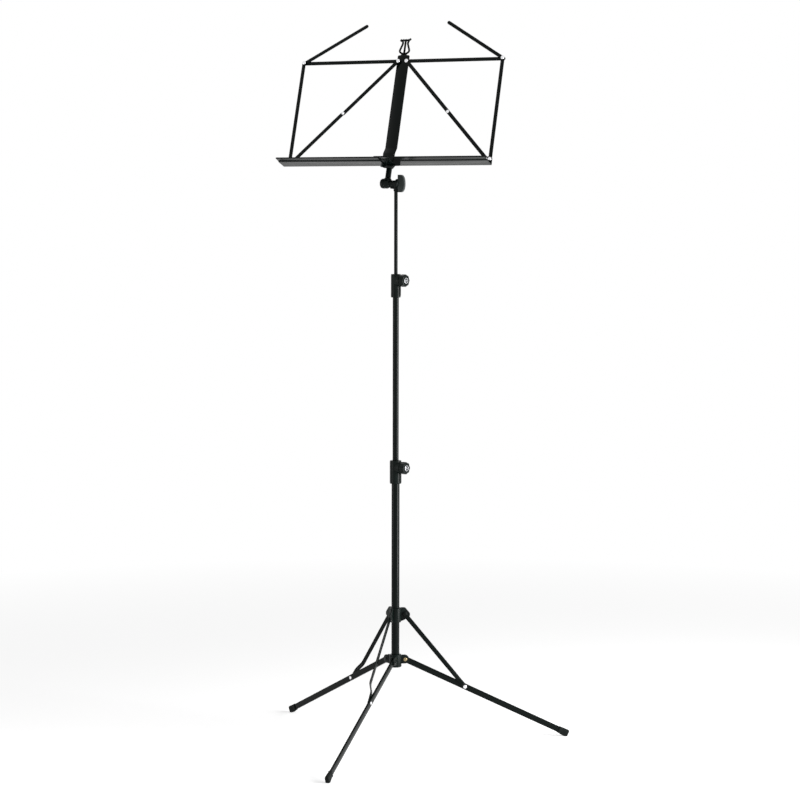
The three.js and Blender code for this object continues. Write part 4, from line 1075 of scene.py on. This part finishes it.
LYRE = {
    "neck": 6.2, "bowl_half": 10.6, "bowl": 293.0, "waist_half": 5.6, "waist": 310.0, "crossbar": 316.5,
    "crossbar_half": 9.9, "ball": 2.8, "curl": 2.3, "curl_rise": 2.2, "bump": 1.1,
    "bumps": (-5.4, -1.8, 1.8, 5.4),
}


class STAND_OT_plate(bpy.types.Operator):
    """Make the joggled centre plate with its lyre"""
    bl_idname = "stand.plate"
    bl_label = "Centre plate and lyre"

    def execute(self, context):
        half, thick = mm("plate_half"), PLATE_THICK
        middle, foot = PLATE_BACK + thick / 2, FOOT_BACK + thick / 2
        step, start, neck = 0.7, SHOULDER, LYRE["neck"]
        # the strip runs up the desk, so its own x is the desk's y
        form = Form(DESK @ Matrix.Rotation(pi / 2, 4, "Z")).strap([
            (PLATE_FOOT, half / 2, foot), (PLATE_FOOT + 1.8, half * 0.77, foot),
            (PLATE_FOOT + 3.6, half, foot), (JOGGLE_LOW - 0.8, half, foot),
            (JOGGLE_LOW + 1.4, half, foot - step),
            (JOGGLE_HIGH - 1.4, half, middle + step), (JOGGLE_HIGH + 0.8, half, middle),
            *((start + rise, wide, middle) for rise, wide in (
                (-3, half), (-1.4, half - 0.35), (-0.3, half - 1.5), (0, half - 3.2), (0.15, neck + 1.5),
                (0.9, neck + 0.4), (2.2, neck), (4.4, neck * 0.7)))], thick)
        self.strokes(form, DESK @ Matrix.Translation((0, 0, middle)))
        bar, reach, top = LYRE["crossbar"], LYRE["crossbar_half"], LYRE["bowl"] + 6
        low, high = PLATE_BACK, PLATE_BACK + thick
        form.plate([(-2.8, start), (2.8, start), (1.4, top), (-1.4, top)], low, high, place=DESK)
        knobs = [(-reach, bar, LYRE["ball"]), (reach, bar + LYRE["curl_rise"], LYRE["curl"])]
        knobs += [(x, bar + mm("stroke") / 2, LYRE["bump"]) for x in LYRE["bumps"]]
        for x, y, radius in knobs:
            form.turned(drum(radius, low, high), 0.35, place=DESK @ Matrix.Translation((x, y, 0)), steps=20)
        finish_piece("lyre_centre_plate", form, "coated_sheet", "desk", "centre_plate", edge=0.35)
        return {"FINISHED"}

    def lines(self):
        """The strokes of the lyre as lines on the sheet, each with its share of the stroke's width."""
        bowl, waist, bar, half = LYRE["bowl"], LYRE["waist"], LYRE["crossbar"], LYRE["crossbar_half"]
        wide, narrow = LYRE["bowl_half"], LYRE["waist_half"]
        for side in (-1, 1):
            yield 1.0, smooth_line([(side * x, y) for x, y in (
                (1.0, SHOULDER + 2.6), (wide * 0.72, bowl - 4.4), (wide, bowl),
                (wide * 0.8, (bowl + waist) / 2 - 1), (narrow, waist), (narrow + 2, bar))], 8)
        yield 1.05, [(0, SHOULDER), (0, bar)]
        yield 1.0, [(-half, bar), (half - 5, bar), (half - 3, bar + 0.2), (half - 1.4, bar + 0.9),
                    (half, bar + LYRE["curl_rise"])]

    def strokes(self, form, sheet):
        tree = stroke_tree()
        for k, (share, line) in enumerate(self.lines()):
            seed = bpy.data.meshes.new("stroke_line")
            seed.from_pydata([(x, y, 0) for x, y in line], [(i, i + 1) for i in range(len(line) - 1)], [])
            mesh = tree.grown(f"stroke_{k}", seed, {
                "Material": finish("coated_sheet"), "Width": mm("stroke") * share, "Thickness": PLATE_THICK,
                "Edge": 0.35})
            mesh.transform(sheet)
            form.mesh.from_mesh(mesh)


class STAND_OT_trays(bpy.types.Operator):
    """Make the two halves of the ledge"""
    bl_idname = "stand.trays"
    bl_label = "Ledge halves"

    def section(self, lift):
        """Cross-section of the ledge as (forward, up) pairs: shelf, bead, strip and lip."""
        back, t, soft = FLANGE_BACK, TRAY_SHEET, 0.5
        shelf = LEDGE + lift
        strip = shelf + BEAD_RISE
        bead, end, lip = back + LEDGE_DEPTH, back + LEDGE_DEPTH + STRIP_DEPTH, strip + LIP_RISE
        return rounded([
            (back, shelf), (bead, shelf), (bead + t, strip), (end, strip + soft), (end, lip), (end - t, lip),
            (end - t, strip + t + soft), (bead, strip + t), (bead - t, shelf + t), (back, shelf + t)], 0.45)

    def ledge(self, form, start, end, lift=0.0):
        """A length of ledge. start and end give the place along the desk for a depth."""
        ring = self.section(lift)
        form.stack([[(at(p.x), p.y, p.x) for p in ring] for at in (start, end)])

    def flange(self, side, end):
        """The upright behind the ledge, with an ear round the outer rivet."""
        inner, outer, ear, top = LOW_PIVOT.x - 6, OUTER_LOW, 5.4, FLANGE_TOP
        back = outer.x - 20
        line = [(inner, LEDGE), (end, LEDGE), (outer.x + ear, outer.y - 2)]
        line += arc(outer.x, outer.y, ear, 0, 90)
        line += [(back + 4, outer.y + ear), (back, top), (inner + 3, top), (inner, top - 3)]
        return [(side * x, y) for x, y in line]

    def execute(self, context):
        def fixed(place):
            return lambda depth: place

        def slanted(place):
            return lambda depth: place + (depth - FLANGE_FRONT) * JOINT_SLANT

        # the left half laps over the right one, in steps of one sheet
        lengths = {
            "right": [(slanted(30.0), fixed(TRAY_ENDS["right"]))],
            "left": [(fixed(-TRAY_ENDS["left"]), fixed(-4.5)), (fixed(-14.0), slanted(0.9)),
                     (slanted(-7.0), fixed(17.0))],
        }
        for label, side in SIDES.items():
            form = Form(DESK).plate(self.flange(side, TRAY_ENDS[label]), FLANGE_BACK, FLANGE_FRONT)
            for layer, (start, end) in enumerate(lengths[label]):
                self.ledge(form, start, end, lift=layer * TRAY_SHEET)
            body = f"{label}_tray"
            finish_piece(f"{label}_ledge_half", form, "coated_sheet", body, body, edge=0.25)
        return {"FINISHED"}


def flat_bar(label, word, node, start, end, layer, half):
    """A flat bar with round ends between two pivots of one side of the desk."""
    side, thick = SIDES[label], mm("sheet")
    first, last = Vector((side * start.x, start.y)), Vector((side * end.x, end.y))
    slope, span = line_between(first, last)
    at = Vector((first.x, first.y, LAYERS[layer] + thick / 2))
    form = Form(DESK @ Matrix.Translation(at) @ Matrix.Rotation(slope, 4, "Z"))
    ends = bar_ends(span, half)
    form.strap([(x, wide, 0) for end in ends for x, wide in end], thick)
    body = f"{label}_{node}"
    finish_piece(f"{label}_{word}", form, "coated_sheet", body, body, edge=0.3)


class STAND_OT_bars(bpy.types.Operator):
    """Make the bars and diagonals that open the desk"""
    bl_idname = "stand.bars"
    bl_label = "Desk bars"

    def execute(self, context):
        for label in SIDES:
            for word, node, start, end, layer in (
                    ("top_bar", "upper_bar", HIGH_PIVOT, OUTER_HIGH, 0),
                    ("side_bar", "outer_bar", OUTER_LOW, OUTER_HIGH, 3),
                    ("upper_brace", "upper_diagonal", HIGH_PIVOT, MIDDLE_RIVET, 1),
                    ("lower_brace", "lower_diagonal", SMALL_RIVET, MIDDLE_RIVET, 2)):
                flat_bar(label, word, node, start, end, layer, mm("bar_half"))
        return {"FINISHED"}


class STAND_OT_page_arms(bpy.types.Operator):
    """Make the two swinging page arms"""
    bl_idname = "stand.page_arms"
    bl_label = "Page arms"

    def execute(self, context):
        for label in SIDES:
            rise = radians(180 - ARM_RISE[label])
            tip = OUTER_HIGH + Vector((cos(rise), sin(rise))) * mm("arm_length")
            flat_bar(label, "page_holder", "page_arm", OUTER_HIGH, tip, 1, mm("arm_half"))
        return {"FINISHED"}


# ---------- rivets ----------
BLACK, BRIGHT = "coated_steel", "nickel_plate"
TAIL_SHARE, STEM_RADIUS = 0.8, 2.0
CARRIED = ("direction", "head", "shank")


class STAND_OT_rivets(bpy.types.Operator):
    """Make every rivet, one set for each body that moves on its own"""
    bl_idname = "stand.rivets"
    bl_label = "Rivets"

    def add(self, name, body, look, place, at, front, back, node, head=None, tail=0.0):
        """One rivet: head at the front, shank to the back, and a smaller head there if it has one."""
        row = self.sets.setdefault((name, body, look), {key: [] for key in ("points", *CARRIED, "nodes")})
        out = place.to_3x3().normalized() @ UP
        head = head or mm("rivet_head")
        small = head * TAIL_SHARE
        ends = [(front, out, (head, head, mm("rivet_rise")), (STEM_RADIUS, STEM_RADIUS, front - back + 0.2))]
        if tail:
            ends.append((back, -out, (small, small, tail), (0, 0, 0)))
        for height, direction, size, shank in ends:
            row["points"].append(place @ Vector((at[0], at[1], height)))
            row["direction"].append(direction)
            row["head"].append(Vector(size) * MM)
            row["shank"].append(Vector(shank) * MM)
        row["nodes"].append(node)

    def tripod(self):
        strut = mm("strut_thick") / 2
        for label in LEGS:
            place = leg_frame(label)
            name, look = ("hub_odd_rivet", "worn_brass") if label == "right" else ("hub_rivets", BLACK)
            self.add(name, "base", look, place, HUB_PIVOT, CHEEKS[1][1], CHEEKS[0][0], f"{label}_hub_pin",
                     tail=1.2)
            self.add("collar_rivets", "collar", BLACK, place, COLLAR_PIVOT, STRUT_TOP + strut + GAP,
                     EAR_SIDES[0], f"{label}_collar_pin")
            self.add(f"{label}_leg_rivet", f"{label}_strut", BRIGHT, along_strut(label), (STRUT_SPAN, 0),
                     STRUT_FOOT + strut + GAP, STRUT_FOOT - strut, f"{label}_leg_pin")

    def desk(self):
        over = [back + mm("sheet") + GAP for back in LAYERS]
        proud = FLANGE_FRONT + GAP
        for label, side in SIDES.items():
            ledge, tray = f"{label}_ledge_rivets", f"{label}_tray"
            # set, body, finish, place, front, back, node, size of the head and rise of the tail
            for name, body, look, at, *row in (
                    ("plate_rivets", "desk", BRIGHT, HIGH_PIVOT, over[1], PLATE_BACK, "top_rivet", None, 1.2),
                    ("ledge_pivots", "desk", BLACK, LOW_PIVOT, proud, FOOT_BACK, "tray_pivot", None, 1.0),
                    (f"{label}_corner_stud", f"{label}_upper_bar", BRIGHT, OUTER_HIGH, over[3],
                     LAYERS[0] - GAP, "corner_rivet", None, 0.8),
                    (f"{label}_brace_rivet", f"{label}_lower_diagonal", BRIGHT, MIDDLE_RIVET,
                     over[2] - GAP / 2, LAYERS[2], "middle_rivet", 3.4, 0),
                    (ledge, tray, BRIGHT, OUTER_LOW, proud, LAYERS[3], "tray_rivet", None, 0),
                    (ledge, tray, BRIGHT, SMALL_RIVET, proud, LAYERS[2], "small_rivet", 2.5, 0)):
                front, back, node, head, tail = row
                self.add(name, body, look, DESK, (side * at.x, at.y), front, back, f"{label}_{node}", head,
                         tail)

    def execute(self, context):
        self.sets = {}
        self.tripod()
        self.desk()
        tree = rivet_tree()
        for (name, body, look), row in self.sets.items():
            seed = bpy.data.meshes.new(name + "_points")
            seed.from_pydata(row["points"], [], [])
            for attribute in CARRIED:
                values = seed.attributes.new(attribute, "FLOAT_VECTOR", "POINT")
                values.data.foreach_set("vector", [c for v in row[attribute] for c in v])
            mesh = tree.grown(name, seed, {"Material": finish(look), "Round": 24, "Rim": 0.3})
            dress(name, mesh, look, body, row["nodes"])
        return {"FINISHED"}


# ---------- stage ----------
SENSOR_WIDTH, CLIP_END = 36, 60
# places of the lamps, their width and height, and the height that they aim at on the column
KEY_LIGHT = Vector((1.42, -0.52, 0.66)), (0.7, 1.25), 0.66
FILL_LIGHT = Vector((-1.6, -0.7, 0.8)), (0.25, 1.3), 0.8
FLOOR_GLOW = 0.56  # seen directly, this brings the lit floor up to the surround
FLOOR_REACH, FLOOR_DROP, FLOOR_SIDES = 9.0, 0.0002, 96
FADE_START, FADE_END = 0.9, 2.6


def seen_directly(graph):
    """One for camera, glossy and transmission rays, otherwise zero."""
    path = graph.node("ShaderNodeLightPath")
    last = path.outputs["Is Camera Ray"]
    for ray in ("Is Glossy Ray", "Is Transmission Ray"):
        last = graph.maths("MAXIMUM", last, path.outputs[ray])
    return last


class STAND_OT_stage(bpy.types.Operator):
    """Make the camera, the lights, the surround and the floor"""
    bl_idname = "stand.stage"
    bl_label = "Stage"

    def execute(self, context):
        stage = context.scene.stand_stage
        self.camera(context.scene, stage)
        self.lamp("key_light", stage.key_power, *KEY_LIGHT)
        self.lamp("fill_light", stage.fill_power, *FILL_LIGHT)
        self.surround(context.scene, stage)
        self.floor(stage)
        context.scene.view_settings.view_transform = "Standard"
        return {"FINISHED"}

    def camera(self, scene, stage):
        yaw, pitch, roll = stage.yaw, stage.pitch, stage.roll
        right = Vector((cos(yaw), -sin(yaw), 0))
        ahead = Vector((cos(pitch) * sin(yaw), cos(pitch) * cos(yaw), -sin(pitch)))
        up = Vector((sin(pitch) * sin(yaw), sin(pitch) * cos(yaw), cos(pitch)))
        rolled, above = right * cos(roll) - up * sin(roll), right * sin(roll) + up * cos(roll)
        camera = add_object("front_camera", bpy.data.cameras.new("front_camera"))
        camera.data.lens = stage.lens
        camera.data.sensor_width = SENSOR_WIDTH
        camera.data.clip_end = CLIP_END
        place = Matrix((rolled, above, -ahead)).transposed().to_4x4()
        place.translation = COLUMN_AT + Vector((0, -stage.distance, stage.height))
        camera.matrix_world = place
        scene.camera = camera

    def lamp(self, name, power, at, size, aim):
        light = bpy.data.lights.new(name, "AREA")
        light.shape = "RECTANGLE"
        light.size, light.size_y = size
        light.energy = power
        turn = (UP * aim - at).to_track_quat("-Z", "Y").to_matrix().to_4x4()
        add_object(name, light).matrix_world = Matrix.Translation(at) @ turn

    def surround(self, scene, stage):
        """White where it is seen, and an even weaker light on everything else."""
        world = bpy.data.worlds.new("surround")
        world.use_nodes = True
        graph = Graph(world.node_tree)
        back = graph.tree.nodes["Background"]
        graph.put((1, 1, 1, 1), back.inputs["Color"])
        graph.put(graph.remap(seen_directly(graph), stage.sky, 1.0, 0.0, 1.0), back.inputs["Strength"])
        scene.world = world

    def floor(self, stage):
        """A pale disc that keeps the shadow and fades into the surround."""
        material, surface = blank_material("pale_floor")
        graph = Graph(material.node_tree)
        lit = graph.node("ShaderNodeBsdfDiffuse", {"Color": (*stage.floor, 1)})
        glow = graph.node("ShaderNodeEmission")
        graph.put(graph.maths("MULTIPLY", seen_directly(graph), FLOOR_GLOW), glow.inputs["Strength"])
        both = graph.node("ShaderNodeAddShader", {0: lit, 1: glow})
        white = graph.node("ShaderNodeEmission")
        place = graph.node("ShaderNodeTexCoord").outputs["Object"]
        far = graph.node("ShaderNodeVectorMath", {0: place}, operation="LENGTH").outputs["Value"]
        fade = graph.remap(far, 0.0, 1.0, FADE_START, FADE_END)
        graph.put(graph.node("ShaderNodeMixShader", {0: fade, 1: both, 2: white}), surface)
        mesh = bpy.data.meshes.new("floor")
        mesh.from_pydata(circle(FLOOR_REACH, -FLOOR_DROP, FLOOR_SIDES), [], [list(range(FLOOR_SIDES))])
        mesh.materials.append(material)
        add_object("floor", mesh)


# ---------- panel ----------
MAKERS = (
    STAND_OT_finishes, STAND_OT_column, STAND_OT_clamps, STAND_OT_hub, STAND_OT_collar, STAND_OT_legs,
    STAND_OT_struts, STAND_OT_tilter, STAND_OT_bracket, STAND_OT_plate, STAND_OT_trays, STAND_OT_bars,
    STAND_OT_page_arms, STAND_OT_rivets, STAND_OT_stage)
GROUPS = {"stand_sizes": StandSizes, "stand_finishes": StandFinishes, "stand_stage": StandStage}


class STAND_PT_panel(bpy.types.Panel):
    """Lists the pieces of the stand and their sizes"""
    bl_idname = "STAND_PT_panel"
    bl_label = "Folding Music Stand"
    bl_space_type = "VIEW_3D"
    bl_region_type = "UI"
    bl_category = "Stand"

    def draw(self, context):
        for maker in MAKERS:
            self.layout.operator(maker.bl_idname)
        for store, group in GROUPS.items():
            column = self.layout.column(align=True)
            for name in group.__annotations__:
                column.prop(getattr(context.scene, store), name)


KINDS = (*GROUPS.values(), *MAKERS, STAND_PT_panel)


def register():
    for kind in KINDS:
        bpy.utils.register_class(kind)
    for store, group in GROUPS.items():
        setattr(bpy.types.Scene, store, bpy.props.PointerProperty(type=group))


def unregister():
    for store in GROUPS:
        delattr(bpy.types.Scene, store)
    for kind in reversed(KINDS):
        bpy.utils.unregister_class(kind)


def main():
    register()
    for maker in MAKERS:
        area, word = maker.bl_idname.split(".")
        if getattr(getattr(bpy.ops, area), word)() != {"FINISHED"}:
            raise RuntimeError(f"{maker.bl_idname} did not finish")
    bpy.context.view_layer.update()


if __name__ == "__main__":
    main()
